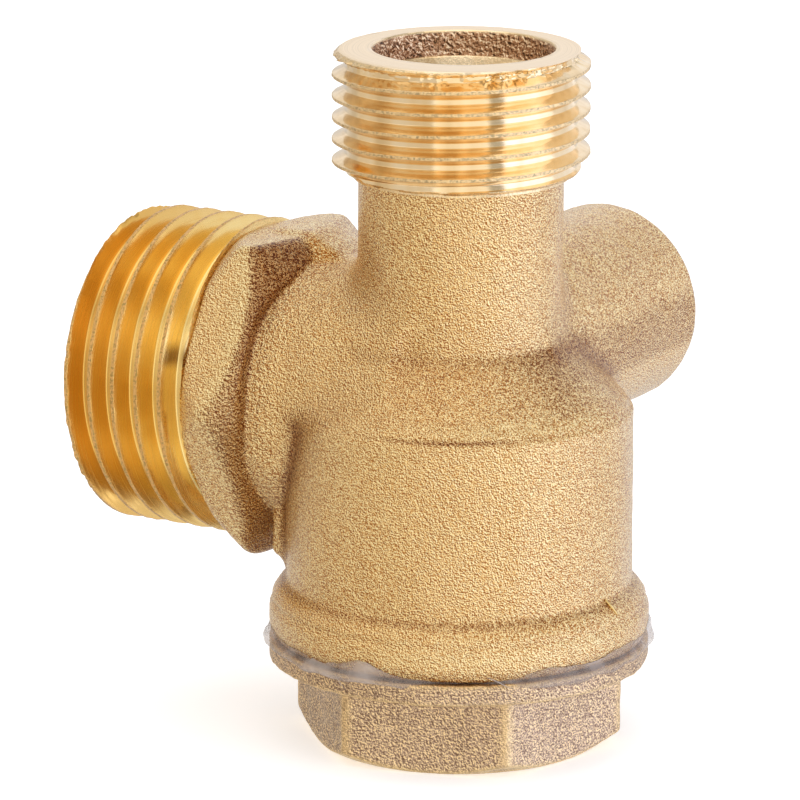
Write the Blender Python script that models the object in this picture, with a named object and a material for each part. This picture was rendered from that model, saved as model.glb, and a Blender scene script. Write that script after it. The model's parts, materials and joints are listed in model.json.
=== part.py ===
"""Three-port check valve for an air compressor, as an assembly of eight pieces.

A cast brass body carries a 3/8 in male thread on top (from the pump), a 1/2 in
male thread on its side (to the tank) with a cast hexagon behind it, and a small
plain boss at right angles to that for the unloader line.  A hexagon plug closes
the bottom through a film of sealant.  Inside, a spring in the plug pushes a
winged carrier with a rubber disc up against the seat.

Metres, +Z up.  The origin is the centre of the plug's bottom face.  The side
port points along -X and the boss along +Y.
"""
import math

import bmesh
import bpy
from mathutils import Matrix, Vector

MM = 0.001

# ---- overall heights above the plug's bottom face, mm
H_TOP = 45.9          # end face of the top port
Z_THREAD_END = 37.9   # ledge below the top thread
Z_NECK_FILLET = 27.3  # foot of the neck
Z_SHOULDER = 22.6     # edge between cone and cylinder
Z_CREASE = 10.8       # crease above the collar
Z_BODY_BOTTOM = 7.25  # lower face of the casting
Z_PORT = 22.36        # axis of the side port
Z_BOSS = 25.13        # axis of the boss

# ---- casting, mm
R_NECK = 6.63
R_BODY = 11.34
R_COLLAR = 12.46
BOSS_R = 6.78
BOSS_LEN = 20.4       # boss end face from the main axis
PORT_LEN = 24.5       # side port end face from the main axis
PORT_NECK_R = 8.75
PORT_HEX_AF = 20.3
PORT_HEX_R = 11.6     # worn corners of the cast hexagon
PORT_THREAD_START = 14.82

# ---- threads, mm: crest radius, depth, pitch
TOP_CREST_R, TOP_DEPTH, TOP_PITCH = 8.34, 0.86, 1.411
PORT_CREST_R, PORT_DEPTH, PORT_PITCH = 10.55, 1.12, 1.814

# ---- bores, mm
TOP_BORE_R = 5.45
TOP_BORE_SHIFT = (-0.19, 0.63)   # the cored bore sits off the thread's axis
NECK_BORE_R = 4.4
Z_TUBE_SEAT = 44.3    # foot of the cored mouth, where the machined cone begins
SEAT_R = 4.3
SEAT_LIP_R = 5.3
SEAT_LIP_H = 0.7
Z_ROOF = 22.2
CHAMBER_R = 9.2
PLUG_BORE_R = 10.2
PORT_BORE_R = 7.2
BOSS_BORE_R = 4.3
ORIFICE_R = 1.5

# ---- plug, mm
PLUG_HEX_AF = 19.0
PLUG_HEX_PHASE = 16.6            # degrees from +X to a corner
PLUG_FLANGE_Z = (5.44, 6.70)
PLUG_THREAD_R = 9.9
PLUG_TOP = 11.7
CUP_R = 6.6
CUP_FLOOR = 3.6

# ---- seal train, mm
LIFT = 3.2
DISC_TOP = Z_ROOF - SEAT_LIP_H - 0.15
DISC_R, DISC_T = 6.2, 2.0
HOLE_R = 1.75
SPRING_R, SPRING_WIRE, SPRING_TURNS = 5.2, 0.7, 7.0


def wipe():
    for ob in list(bpy.data.objects):
        bpy.data.objects.remove(ob, do_unlink=True)


def material(name, colour, roughness, metallic):
    mat = bpy.data.materials.new(name)
    mat.use_nodes = True
    shader = mat.node_tree.nodes["Principled BSDF"]
    shader.inputs["Base Color"].default_value = (*colour, 1.0)
    shader.inputs["Roughness"].default_value = roughness
    shader.inputs["Metallic"].default_value = metallic
    mat.diffuse_color = (*colour, 1.0)
    return mat


def finish(bm, name, mat=None, smooth_deg=35.0):
    bmesh.ops.recalc_face_normals(bm, faces=bm.faces[:])
    mesh = bpy.data.meshes.new(name)
    bm.to_mesh(mesh)
    bm.free()
    mesh.shade_smooth()
    mesh.set_sharp_from_angle(angle=math.radians(smooth_deg))
    ob = bpy.data.objects.new(name, mesh)
    bpy.context.scene.collection.objects.link(ob)
    if mat is not None:
        mesh.materials.append(mat)
    return ob


def cutter(ob):
    ob.hide_render = True
    ob.display_type = "WIRE"
    return ob


def boolean(ob, other, operation):
    mod = ob.modifiers.new(operation.lower() + "_" + other.name, "BOOLEAN")
    mod.operation = operation
    mod.object = other
    mod.solver = "EXACT"
    return mod


def lathe(name, profile, segments, mat=None, ring=False, matrix=None):
    """Turn (radius, height) points in mm about Z.  A ring's profile is closed."""
    bm = bmesh.new()
    loops = []
    for radius, height in profile:
        if radius < 1e-9:
            loops.append([bm.verts.new((0.0, 0.0, height * MM))])
            continue
        loops.append([
            bm.verts.new((radius * MM * math.cos(2 * math.pi * i / segments),
                          radius * MM * math.sin(2 * math.pi * i / segments),
                          height * MM))
            for i in range(segments)])
    pairs = list(zip(loops, loops[1:]))
    if ring:
        pairs.append((loops[-1], loops[0]))
    for low, high in pairs:
        for i in range(segments):
            j = (i + 1) % segments
            if len(low) == 1 and len(high) == 1:
                continue
            if len(low) == 1:
                bm.faces.new((low[0], high[i], high[j]))
            elif len(high) == 1:
                bm.faces.new((low[i], low[j], high[0]))
            else:
                bm.faces.new((low[i], low[j], high[j], high[i]))
    if matrix is not None:
        bmesh.ops.transform(bm, matrix=matrix, verts=bm.verts[:])
    return finish(bm, name, mat)


def prism(name, radius, low, high, sides, phase_deg, mat=None, matrix=None):
    bm = bmesh.new()
    rings = []
    for height in (low, high):
        rings.append([
            bm.verts.new((radius * MM * math.cos(math.radians(phase_deg + 360.0 * i / sides)),
                          radius * MM * math.sin(math.radians(phase_deg + 360.0 * i / sides)),
                          height * MM))
            for i in range(sides)])
    bm.faces.new(rings[0])
    bm.faces.new(rings[1])
    for i in range(sides):
        j = (i + 1) % sides
        bm.faces.new((rings[0][i], rings[0][j], rings[1][j], rings[1][i]))
    if matrix is not None:
        bmesh.ops.transform(bm, matrix=matrix, verts=bm.verts[:])
    return finish(bm, name, mat, smooth_deg=20.0)


def thread_profile(crest_r, depth, pitch, first, last, count_from):
    """Crests and V grooves along a turned outline, from `first` to `last`."""
    points = []
    crest, root = 0.15 * pitch, 0.10 * pitch
    centre = count_from
    step = -1.0 if last < first else 1.0
    while (last - centre) * step > 0.35 * pitch:
        points.append((crest_r, centre - step * crest))
        points.append((crest_r, centre + step * crest))
        groove = centre + step * 0.5 * pitch
        if (last - groove) * step > 0.35 * pitch:
            points.append((crest_r - depth, groove - step * root))
            points.append((crest_r - depth, groove + step * root))
        centre += step * pitch
    return points


# frame of the side port (local +Z = world -X) and of the boss (local +Z = +Y)
PORT_FRAME = (Matrix.Translation((0.0, 0.0, Z_PORT * MM))
              @ Matrix(((0, 0, -1, 0), (0, 1, 0, 0), (1, 0, 0, 0), (0, 0, 0, 1))))
BOSS_FRAME = (Matrix.Translation((0.0, 0.0, Z_BOSS * MM))
              @ Matrix(((-1, 0, 0, 0), (0, 0, 1, 0), (0, 1, 0, 0), (0, 0, 0, 1))))


def make_body(mat):
    top = thread_profile(TOP_CREST_R, TOP_DEPTH, TOP_PITCH,
                         H_TOP, Z_THREAD_END, H_TOP - 0.95)
    outline = [(0.0, H_TOP), (7.92, H_TOP)] + top
    outline += [(8.05, Z_THREAD_END + 0.15), (7.6, Z_THREAD_END),
                (R_NECK, Z_THREAD_END - 0.35),
                (R_NECK, Z_NECK_FILLET + 0.6), (R_NECK + 0.25, Z_NECK_FILLET - 0.3),
                (R_NECK + 0.95, Z_NECK_FILLET - 1.1),
                (10.55, Z_SHOULDER + 0.95), (11.1, Z_SHOULDER + 0.35),
                (R_BODY, Z_SHOULDER - 0.3),
                (R_BODY, Z_CREASE), (11.75, Z_CREASE - 0.45),
                (12.2, Z_CREASE - 0.95), (R_COLLAR, Z_CREASE - 1.6),
                (R_COLLAR, Z_BODY_BOTTOM + 0.35), (R_COLLAR - 0.3, Z_BODY_BOTTOM),
                (0.0, Z_BODY_BOTTOM)]
    body = lathe("valve_body", outline, 48, mat)

    # side port: neck and hexagon, then the threaded end, both turned about -X
    form = cutter(lathe("port_form", [
        (0.0, 0.5), (PORT_NECK_R, 0.5), (PORT_NECK_R, 9.8), (PORT_HEX_R, 12.45),
        (PORT_HEX_R, 13.35), (10.6, PORT_THREAD_START), (0.0, PORT_THREAD_START)],
        40, matrix=PORT_FRAME))
    hexagon = cutter(prism("port_hexagon", PORT_HEX_AF / math.sqrt(3.0), -1.0, 16.0, 6,
                           90.0, matrix=PORT_FRAME))
    boolean(form, hexagon, "INTERSECT")
    side = thread_profile(PORT_CREST_R, PORT_DEPTH, PORT_PITCH,
                          PORT_THREAD_START + 1.1, PORT_LEN, PORT_THREAD_START + 1.75)
    side = [p for p in side if p[1] < PORT_LEN - 0.6]
    end = cutter(lathe("port_thread", [
        (0.0, 13.9), (9.5, 13.9), (9.5, PORT_THREAD_START + 0.9)] + side + [
        (9.65, PORT_LEN), (0.0, PORT_LEN)], 40, matrix=PORT_FRAME))
    boss = cutter(lathe("boss_form", [
        (0.0, 1.0), (BOSS_R + 0.15, 1.0), (BOSS_R + 0.15, 9.0), (BOSS_R, BOSS_LEN - 0.3),
        (BOSS_R - 0.3, BOSS_LEN), (0.0, BOSS_LEN)], 32, matrix=BOSS_FRAME))
    for other in (form, end, boss):
        boolean(body, other, "UNION")

    # bores
    shift = Matrix.Translation((TOP_BORE_SHIFT[0] * MM, TOP_BORE_SHIFT[1] * MM, 0.0))
    cuts = [
        cutter(lathe("top_bore", [
            (0.0, H_TOP + 1.0), (TOP_BORE_R + 0.35, H_TOP + 1.0),
            (TOP_BORE_R + 0.35, H_TOP), (TOP_BORE_R, H_TOP - 0.35),
            (TOP_BORE_R, Z_TUBE_SEAT), (TOP_BORE_R - 0.15, Z_TUBE_SEAT),
            (NECK_BORE_R, Z_TUBE_SEAT - 1.6), (NECK_BORE_R, 30.0),
            (0.0, 29.0)], 32, matrix=shift)),
        cutter(lathe("seat_bore", [
            (0.0, 31.4), (SEAT_R, 31.4), (SEAT_R, Z_ROOF - SEAT_LIP_H - 0.5),
            (0.0, Z_ROOF - SEAT_LIP_H - 0.5)], 32)),
        cutter(lathe("chamber", [
            (0.0, Z_ROOF - SEAT_LIP_H), (SEAT_LIP_R, Z_ROOF - SEAT_LIP_H),
            (SEAT_LIP_R + 0.2, Z_ROOF), (CHAMBER_R, Z_ROOF), (CHAMBER_R, 12.3),
            (PLUG_BORE_R, 12.0), (PLUG_BORE_R, 6.0), (0.0, 6.0)], 40)),
        cutter(lathe("port_bore", [
            (0.0, PORT_LEN + 1.0), (PORT_BORE_R + 0.4, PORT_LEN + 1.0),
            (PORT_BORE_R + 0.4, PORT_LEN), (PORT_BORE_R, PORT_LEN - 0.4),
            (PORT_BORE_R, 8.3), (PORT_BORE_R - 0.6, 7.7), (0.0, 7.7)],
            32, matrix=PORT_FRAME)),
        cutter(lathe("boss_bore", [
            (0.0, BOSS_LEN + 1.0), (BOSS_BORE_R + 0.5, BOSS_LEN + 1.0),
            (BOSS_BORE_R + 0.5, BOSS_LEN), (BOSS_BORE_R, BOSS_LEN - 0.5),
            (BOSS_BORE_R, 12.6), (0.0, 11.4)], 24, matrix=BOSS_FRAME)),
        cutter(lathe("unloader_orifice", [
            (0.0, 13.0), (ORIFICE_R, 13.0), (ORIFICE_R, 2.0), (0.0, 2.0)],
            12, matrix=BOSS_FRAME)),
    ]
    for cut in cuts:
        boolean(body, cut, "DIFFERENCE")
    return body


def make_cap(mat):
    turned = lathe("bottom_cap", [
        (0.0, 0.0), (9.2, 0.0), (11.6, 1.39), (11.6, PLUG_FLANGE_Z[0] - 0.4),
        (0.0, PLUG_FLANGE_Z[0] - 0.4)], 36, mat)
    hexagon = cutter(prism("plug_hexagon", PLUG_HEX_AF / math.sqrt(3.0), -1.0, 8.0, 6,
                           PLUG_HEX_PHASE))
    boolean(turned, hexagon, "INTERSECT")
    groove, pitch = 0.75, 1.5
    upper = [(0.0, PLUG_FLANGE_Z[0] - 0.9), (8.6, PLUG_FLANGE_Z[0] - 0.9),
             (8.6, PLUG_FLANGE_Z[0]), (R_COLLAR - 0.25, PLUG_FLANGE_Z[0]),
             (R_COLLAR, PLUG_FLANGE_Z[0] + 0.25),
             (R_COLLAR, PLUG_FLANGE_Z[1] - 0.2), (R_COLLAR - 0.2, PLUG_FLANGE_Z[1]),
             (PLUG_THREAD_R - groove, PLUG_FLANGE_Z[1]),
             (PLUG_THREAD_R - groove, PLUG_FLANGE_Z[1] + 0.5)]
    z = PLUG_FLANGE_Z[1] + 1.0
    while z < PLUG_TOP - 0.5:
        upper += [(PLUG_THREAD_R, z), (PLUG_THREAD_R, z + 0.35),
                  (PLUG_THREAD_R - groove, z + 0.80), (PLUG_THREAD_R - groove, z + 1.05)]
        z += pitch
    upper = [p for p in upper if p[1] < PLUG_TOP - 0.3]
    upper += [(PLUG_THREAD_R - groove, PLUG_TOP), (0.0, PLUG_TOP)]
    flange = cutter(lathe("plug_flange_and_thread", upper, 40))
    boolean(turned, flange, "UNION")
    cup = cutter(lathe("spring_cup", [
        (0.0, CUP_FLOOR), (CUP_R - 0.4, CUP_FLOOR), (CUP_R, CUP_FLOOR + 0.4),
        (CUP_R, PLUG_TOP + 1.0), (0.0, PLUG_TOP + 1.0)], 28))
    boolean(turned, cup, "DIFFERENCE")
    return turned


def make_sealant(mat):
    low, high = PLUG_FLANGE_Z[1] + 0.15, Z_BODY_BOTTOM - 0.15
    return lathe("sealant_film", [
        (10.4, low), (12.75, low), (12.95, 0.5 * (low + high)), (12.75, high),
        (10.4, high)], 48, mat, ring=True)


def make_carrier(mat):
    base = DISC_TOP - DISC_T - 0.15          # face under the rubber disc
    shell = lathe("poppet_carrier", [
        (0.0, base), (6.45, base), (6.45, base + 1.25), (7.05, base + 1.25),
        (7.05, base - 1.6), (3.6, base - 1.6), (3.4, base - 4.6), (0.0, base - 4.6)],
        36, mat)
    bm = bmesh.new()
    wing_low = PLUG_TOP + 0.3 + LIFT
    for k in range(4):
        matrix = Matrix.Rotation(math.radians(45.0 + 90.0 * k), 4, "Z")
        box = bmesh.ops.create_cube(bm, size=1.0)["verts"]
        inner, outer, half = 6.2 * MM, (CHAMBER_R - 0.25) * MM, 0.7 * MM
        low, high = wing_low * MM, (base + 0.6) * MM
        for v in box:
            v.co = Vector((inner if v.co.x < 0 else outer,
                           -half if v.co.y < 0 else half,
                           low if v.co.z < 0 else high))
        bmesh.ops.transform(bm, matrix=matrix, verts=box)
    wings = cutter(finish(bm, "carrier_wings"))
    boolean(shell, wings, "UNION")
    # legs hang below the rim, so the rim ring reaches down to carry them
    rim = cutter(lathe("carrier_skirt", [
        (5.95, base - 1.4), (7.0, base - 1.4), (7.0, wing_low), (5.95, wing_low)],
        36, ring=True))
    boolean(shell, rim, "UNION")
    hole = cutter(lathe("screw_hole", [
        (0.0, base + 1.0), (HOLE_R, base + 1.0), (HOLE_R, base - 3.4), (0.0, base - 3.4)],
        20))
    boolean(shell, hole, "DIFFERENCE")
    return shell


def make_disc(mat):
    return lathe("seal_disc", [
        (HOLE_R, DISC_TOP - DISC_T), (DISC_R, DISC_TOP - DISC_T),
        (DISC_R, DISC_TOP - 0.2), (DISC_R - 0.2, DISC_TOP), (HOLE_R, DISC_TOP)],
        36, mat, ring=True)


def make_washer(mat):
    low = DISC_TOP + 0.15
    return lathe("seal_washer", [
        (HOLE_R, low), (3.2, low), (3.2, low + 0.4), (3.05, low + 0.55),
        (HOLE_R, low + 0.55)], 28, mat, ring=True)


def make_screw(mat):
    seat = DISC_TOP + 0.15 + 0.55 + 0.15     # underside of the head
    foot = DISC_TOP - DISC_T - 0.15 - 3.1    # tip of the shank
    screw = lathe("seal_screw", [
        (0.0, seat + 1.35), (1.3, seat + 1.3), (2.2, seat + 0.85), (2.5, seat + 0.35),
        (2.5, seat), (1.45, seat), (1.45, foot + 0.3), (1.15, foot), (0.0, foot)],
        20, mat)
    bm = bmesh.new()
    slot = bmesh.ops.create_cube(bm, size=1.0)["verts"]
    for v in slot:
        v.co = Vector((v.co.x * 7.0 * MM, v.co.y * 0.6 * MM,
                       (seat + 0.75 + (1.0 if v.co.z > 0 else 0.0)) * MM))
    boolean(screw, cutter(finish(bm, "driver_slot")), "DIFFERENCE")
    return screw


def make_spring(mat):
    """A wire swept along a compression coil with close end turns."""
    low = CUP_FLOOR + 0.25 + SPRING_WIRE / 2
    high = DISC_TOP - DISC_T - 0.15 - 1.6 - 0.25 - SPRING_WIRE / 2
    per_turn, sides = 14, 6
    count = int(SPRING_TURNS * per_turn)
    close = 1.0                              # close turns at each end
    centres = []
    for i in range(count + 1):
        turn = i / per_turn
        a = min(turn, close) * SPRING_WIRE * 1.08
        b = max(0.0, turn - (SPRING_TURNS - close)) * SPRING_WIRE * 1.08
        free = (high - low - 2 * close * SPRING_WIRE * 1.08)
        mid = min(max(turn - close, 0.0), SPRING_TURNS - 2 * close)
        z = low + a + b + free * mid / (SPRING_TURNS - 2 * close)
        angle = 2 * math.pi * turn
        centres.append(Vector((SPRING_R * math.cos(angle), SPRING_R * math.sin(angle), z)))
    bm = bmesh.new()
    rings = []
    for i, c in enumerate(centres):
        tangent = (centres[min(i + 1, count)] - centres[max(i - 1, 0)]).normalized()
        out = Vector((c.x, c.y, 0.0)).normalized()
        out = (out - tangent * out.dot(tangent)).normalized()
        up = tangent.cross(out)
        rings.append([bm.verts.new((c + SPRING_WIRE / 2 * (
            math.cos(2 * math.pi * k / sides) * out
            + math.sin(2 * math.pi * k / sides) * up)) * MM) for k in range(sides)])
    for a, b in zip(rings, rings[1:]):
        for k in range(sides):
            bm.faces.new((a[k], a[(k + 1) % sides], b[(k + 1) % sides], b[k]))
    bm.faces.new(rings[0])
    bm.faces.new(rings[-1])
    return finish(bm, "return_spring", mat, smooth_deg=60.0)


def main():
    wipe()
    brass = material("cast_brass", (0.62, 0.42, 0.18), 0.42, 1.0)
    plug_brass = material("plug_brass", (0.50, 0.36, 0.20), 0.50, 1.0)
    turned_brass = material("turned_brass", (0.80, 0.58, 0.22), 0.25, 1.0)
    film = material("clear_sealant", (0.62, 0.58, 0.62), 0.35, 0.0)
    rubber = material("black_rubber", (0.02, 0.02, 0.02), 0.65, 0.0)
    steel = material("spring_steel", (0.56, 0.57, 0.58), 0.30, 1.0)
    zinc = material("plated_steel", (0.66, 0.66, 0.62), 0.28, 1.0)

    body = make_body(brass)
    cap = make_cap(plug_brass)
    sealant = make_sealant(film)
    carrier = make_carrier(turned_brass)
    disc = make_disc(rubber)
    washer = make_washer(zinc)
    screw = make_screw(zinc)
    make_spring(steel)

    # the valve body and the sealant turn about Z and the seal train slides along
    # Z, so each group hangs from an empty on that axis
    for name, pieces in (("unscrew_axis", (body, sealant)),
                         ("poppet_axis", (carrier, disc, washer, screw))):
        axis = bpy.data.objects.new(name, None)
        axis.empty_display_size = 0.01
        bpy.context.scene.collection.objects.link(axis)
        for ob in pieces:
            ob.parent = axis
    return cap


main()
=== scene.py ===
"""Looks for the air compressor check valve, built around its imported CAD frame.

Metres in Blender, millimetres in the numpy geometry below.  +Z up, the origin at the
centre of the plug's bottom face, the side port along -X, the boss along +Y.
"""

import json
import math

import bpy
import numpy as np
from mathutils import Matrix, Vector

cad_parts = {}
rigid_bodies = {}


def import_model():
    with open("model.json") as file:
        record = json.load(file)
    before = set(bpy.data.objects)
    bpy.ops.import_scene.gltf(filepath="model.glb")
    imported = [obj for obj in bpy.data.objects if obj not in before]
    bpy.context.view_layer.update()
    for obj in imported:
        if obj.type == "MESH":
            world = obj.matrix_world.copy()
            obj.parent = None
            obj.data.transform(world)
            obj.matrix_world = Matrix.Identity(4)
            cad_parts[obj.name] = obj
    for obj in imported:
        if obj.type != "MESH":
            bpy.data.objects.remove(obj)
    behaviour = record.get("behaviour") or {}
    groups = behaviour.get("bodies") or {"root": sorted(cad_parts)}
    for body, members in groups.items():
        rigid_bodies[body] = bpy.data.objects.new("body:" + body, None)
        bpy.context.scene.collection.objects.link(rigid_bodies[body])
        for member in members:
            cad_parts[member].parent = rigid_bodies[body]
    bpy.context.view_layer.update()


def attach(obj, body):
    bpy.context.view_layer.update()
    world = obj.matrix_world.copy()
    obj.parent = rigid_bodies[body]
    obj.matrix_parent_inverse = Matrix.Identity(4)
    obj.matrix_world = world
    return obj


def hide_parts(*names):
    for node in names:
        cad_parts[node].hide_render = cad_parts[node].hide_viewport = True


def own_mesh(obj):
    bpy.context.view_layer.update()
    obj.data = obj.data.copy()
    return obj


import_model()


MM = 0.001
TAU = 2.0 * math.pi

# ------------------------------------------------------------------ dimensions, mm
H_TOP = 45.9
Z_LEDGE = 37.93
R_NECK = 6.63
R_BODY = 11.34
R_COLLAR = 12.46
Z_PORT, Z_BOSS = 22.36, 25.13
BOSS_R, BOSS_LEN = 6.78, 20.4
PORT_LEN = 24.5
PORT_NECK_R = 8.75
HEX_APOTHEM = 10.17
SHIFT = (-0.19, 0.63)
CAM_AZ = 29.572            # degrees, from -Y toward +X
FRONT = math.radians(CAM_AZ - 90.0)


# ------------------------------------------------------------------ small maths kit
def smin(a, b, k):
    h = np.clip(0.5 + 0.5 * (b - a) / k, 0.0, 1.0)
    return b * (1.0 - h) + a * h - k * h * (1.0 - h)


def smax(a, b, k):
    return -smin(-a, -b, k)


def smooth(e0, e1, x):
    t = np.clip((x - e0) / (e1 - e0), 0.0, 1.0)
    return t * t * (3.0 - 2.0 * t)


class Noise:
    """Smooth value noise on a repeating lattice, the same each run."""

    def __init__(self, seed, size=32):
        self.n = size
        self.table = np.random.RandomState(seed).uniform(-1.0, 1.0, (size, size, size)).astype(np.float32)

    def __call__(self, x, y, z):
        out = 0.0
        xs = []
        for v in (x, y, z):
            f = np.floor(v)
            t = (v - f).astype(np.float32)
            t = t * t * t * (t * (t * 6.0 - 15.0) + 10.0)
            i = f.astype(np.int64)
            xs.append(((i % self.n, (i + 1) % self.n), (1.0 - t, t)))
        for a in (0, 1):
            for b in (0, 1):
                for c in (0, 1):
                    out = out + (self.table[xs[0][0][a], xs[1][0][b], xs[2][0][c]]
                                 * xs[0][1][a] * xs[1][1][b] * xs[2][1][c])
        return out


NOISE_A, NOISE_B = Noise(11), Noise(23)


def sd_polygon(px, py, pts):
    """Signed distance to a closed 2-D outline, negative inside."""
    best = np.full(px.shape, 1e9, np.float32)
    sign = np.ones(px.shape, bool)
    n = len(pts)
    for i in range(n):
        (x0, y0), (x1, y1) = pts[i], pts[i - 1]
        ex, ey = x1 - x0, y1 - y0
        wx, wy = px - x0, py - y0
        t = np.clip((wx * ex + wy * ey) / (ex * ex + ey * ey), 0.0, 1.0)
        bx, by = wx - ex * t, wy - ey * t
        best = np.minimum(best, bx * bx + by * by)
        c1, c2, c3 = py >= y0, py < y1, ex * wy > ey * wx
        sign ^= (c1 & c2 & c3) | (~c1 & ~c2 & ~c3)
    d = np.sqrt(best)
    return np.where(sign, d, -d)


def round_corners(pts, radii, steps=5):
    """Replace each corner of a closed outline by an arc-like curve of about that radius."""
    out = []
    n = len(pts)
    for i in range(n):
        r = radii[i]
        p = np.array(pts[i], float)
        if r <= 0:
            out.append(tuple(p))
            continue
        a, b = np.array(pts[i - 1], float), np.array(pts[(i + 1) % n], float)
        la, lb = np.linalg.norm(a - p), np.linalg.norm(b - p)
        ua, ub = (a - p) / la, (b - p) / lb
        cosang = float(np.clip(np.dot(ua, ub), -1, 1))
        half = math.acos(cosang) / 2
        cut = min(r / math.tan(half) if half < 1.5 else 0.0, 0.48 * la, 0.48 * lb)
        if cut < 1e-4:
            out.append(tuple(p))
            continue
        p0, p2 = p + ua * cut, p + ub * cut
        for s in range(steps + 1):
            t = s / steps
            out.append(tuple((1 - t) ** 2 * p0 + 2 * t * (1 - t) * p + t * t * p2))
    return out


# ------------------------------------------------------------------ polygonising a field
def surface_nets(func, low, high, step, rounds=3, clip=0.55):
    axes = [np.arange(l, h + step, step, dtype=np.float32) for l, h in zip(low, high)]
    shape = tuple(len(a) for a in axes)
    field = np.empty(shape, np.float32)
    for s in range(0, shape[0], 24):          # slabs keep the memory small
        e = min(s + 24, shape[0])
        gx, gy, gz = np.meshgrid(axes[0][s:e], axes[1], axes[2], indexing="ij")
        field[s:e] = func(gx, gy, gz)
    inside = field < 0
    corner = [(a, b, c) for a in (0, 1) for b in (0, 1) for c in (0, 1)]

    def part(arr, o):
        return arr[o[0]:shape[0] - 1 + o[0], o[1]:shape[1] - 1 + o[1], o[2]:shape[2] - 1 + o[2]]

    first = part(inside, (0, 0, 0))
    active = np.zeros(first.shape, bool)
    for o in corner[1:]:
        active |= part(inside, o) != first
    cells = np.argwhere(active)
    index = np.full(first.shape, -1, np.int32)
    index[active] = np.arange(len(cells))
    values = np.stack([part(field, o)[active] for o in corner], 1)
    acc = np.zeros((len(cells), 3), np.float32)
    count = np.zeros(len(cells), np.float32)
    for i, a in enumerate(corner):
        for j, b in enumerate(corner):
            if j <= i or sum(abs(a[k] - b[k]) for k in range(3)) != 1:
                continue
            va, vb = values[:, i], values[:, j]
            cross = (va < 0) != (vb < 0)
            t = np.where(cross, va / np.where(cross, va - vb, 1.0), 0.0)
            pos = np.array(a, np.float32)[None] + t[:, None] * (np.array(b) - np.array(a))[None]
            acc += np.where(cross[:, None], pos, 0.0)
            count += cross
    verts = (cells + acc / count[:, None]) * step + np.array([a[0] for a in axes], np.float32)
    quads = []
    for axis in range(3):
        u, v = (axis + 1) % 3, (axis + 2) % 3
        lo = [slice(None)] * 3
        hi = [slice(None)] * 3
        lo[axis], hi[axis] = slice(0, -1), slice(1, None)
        a, b = inside[tuple(lo)], inside[tuple(hi)]
        at = np.argwhere(a != b)
        ok = (at[:, u] > 0) & (at[:, u] < shape[u] - 1) & (at[:, v] > 0) & (at[:, v] < shape[v] - 1)
        at = at[ok]
        rising = a[tuple(at.T)]
        ids = []
        for du, dv in ((-1, -1), (0, -1), (0, 0), (-1, 0)):
            c = at.copy()
            c[:, u] += du
            c[:, v] += dv
            ids.append(index[tuple(c.T)])
        q = np.stack(ids, 1)
        q[~rising] = q[~rising][:, ::-1]
        quads.append(q)
    quads = np.concatenate(quads)
    verts = verts.astype(np.float64)
    h = 0.03
    for _ in range(rounds):                    # settle every vertex on the true surface
        x, y, z = verts.T
        d = func(x, y, z)
        g = np.stack([func(x + h, y, z) - func(x - h, y, z),
                      func(x, y + h, z) - func(x, y - h, z),
                      func(x, y, z + h) - func(x, y, z - h)], 1) / (2 * h)
        n2 = np.maximum((g * g).sum(1), 0.25)
        move = -(d / n2)[:, None] * g
        size = np.linalg.norm(move, axis=1)
        move *= np.minimum(1.0, clip * step / np.maximum(size, 1e-9))[:, None]
        verts = verts + move
    return verts, quads


def make_object(name, verts_mm, faces, mat, attrs=None, smooth_deg=None):
    mesh = bpy.data.meshes.new(name)
    if isinstance(faces, np.ndarray):
        nf, k = faces.shape
        mesh.vertices.add(len(verts_mm))
        mesh.vertices.foreach_set("co", (np.asarray(verts_mm, np.float32) * MM).ravel())
        mesh.loops.add(nf * k)
        mesh.loops.foreach_set("vertex_index", faces.astype(np.int32).ravel())
        mesh.polygons.add(nf)
        mesh.polygons.foreach_set("loop_start", np.arange(0, nf * k, k, dtype=np.int32))
        mesh.update(calc_edges=True)
        mesh.validate()
    else:
        mesh.from_pydata([tuple(float(c) * MM for c in v) for v in verts_mm], [], faces)
        mesh.validate()
    mesh.polygons.foreach_set("use_smooth", np.ones(len(mesh.polygons), bool))
    if smooth_deg is not None:
        mesh.set_sharp_from_angle(angle=math.radians(smooth_deg))
    for key, values in (attrs or {}).items():
        layer = mesh.attributes.new(key, "FLOAT", "POINT")
        layer.data.foreach_set("value", np.asarray(values, np.float32))
    mesh.materials.append(mat)
    ob = bpy.data.objects.new(name, mesh)
    bpy.context.scene.collection.objects.link(ob)
    return ob


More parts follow.
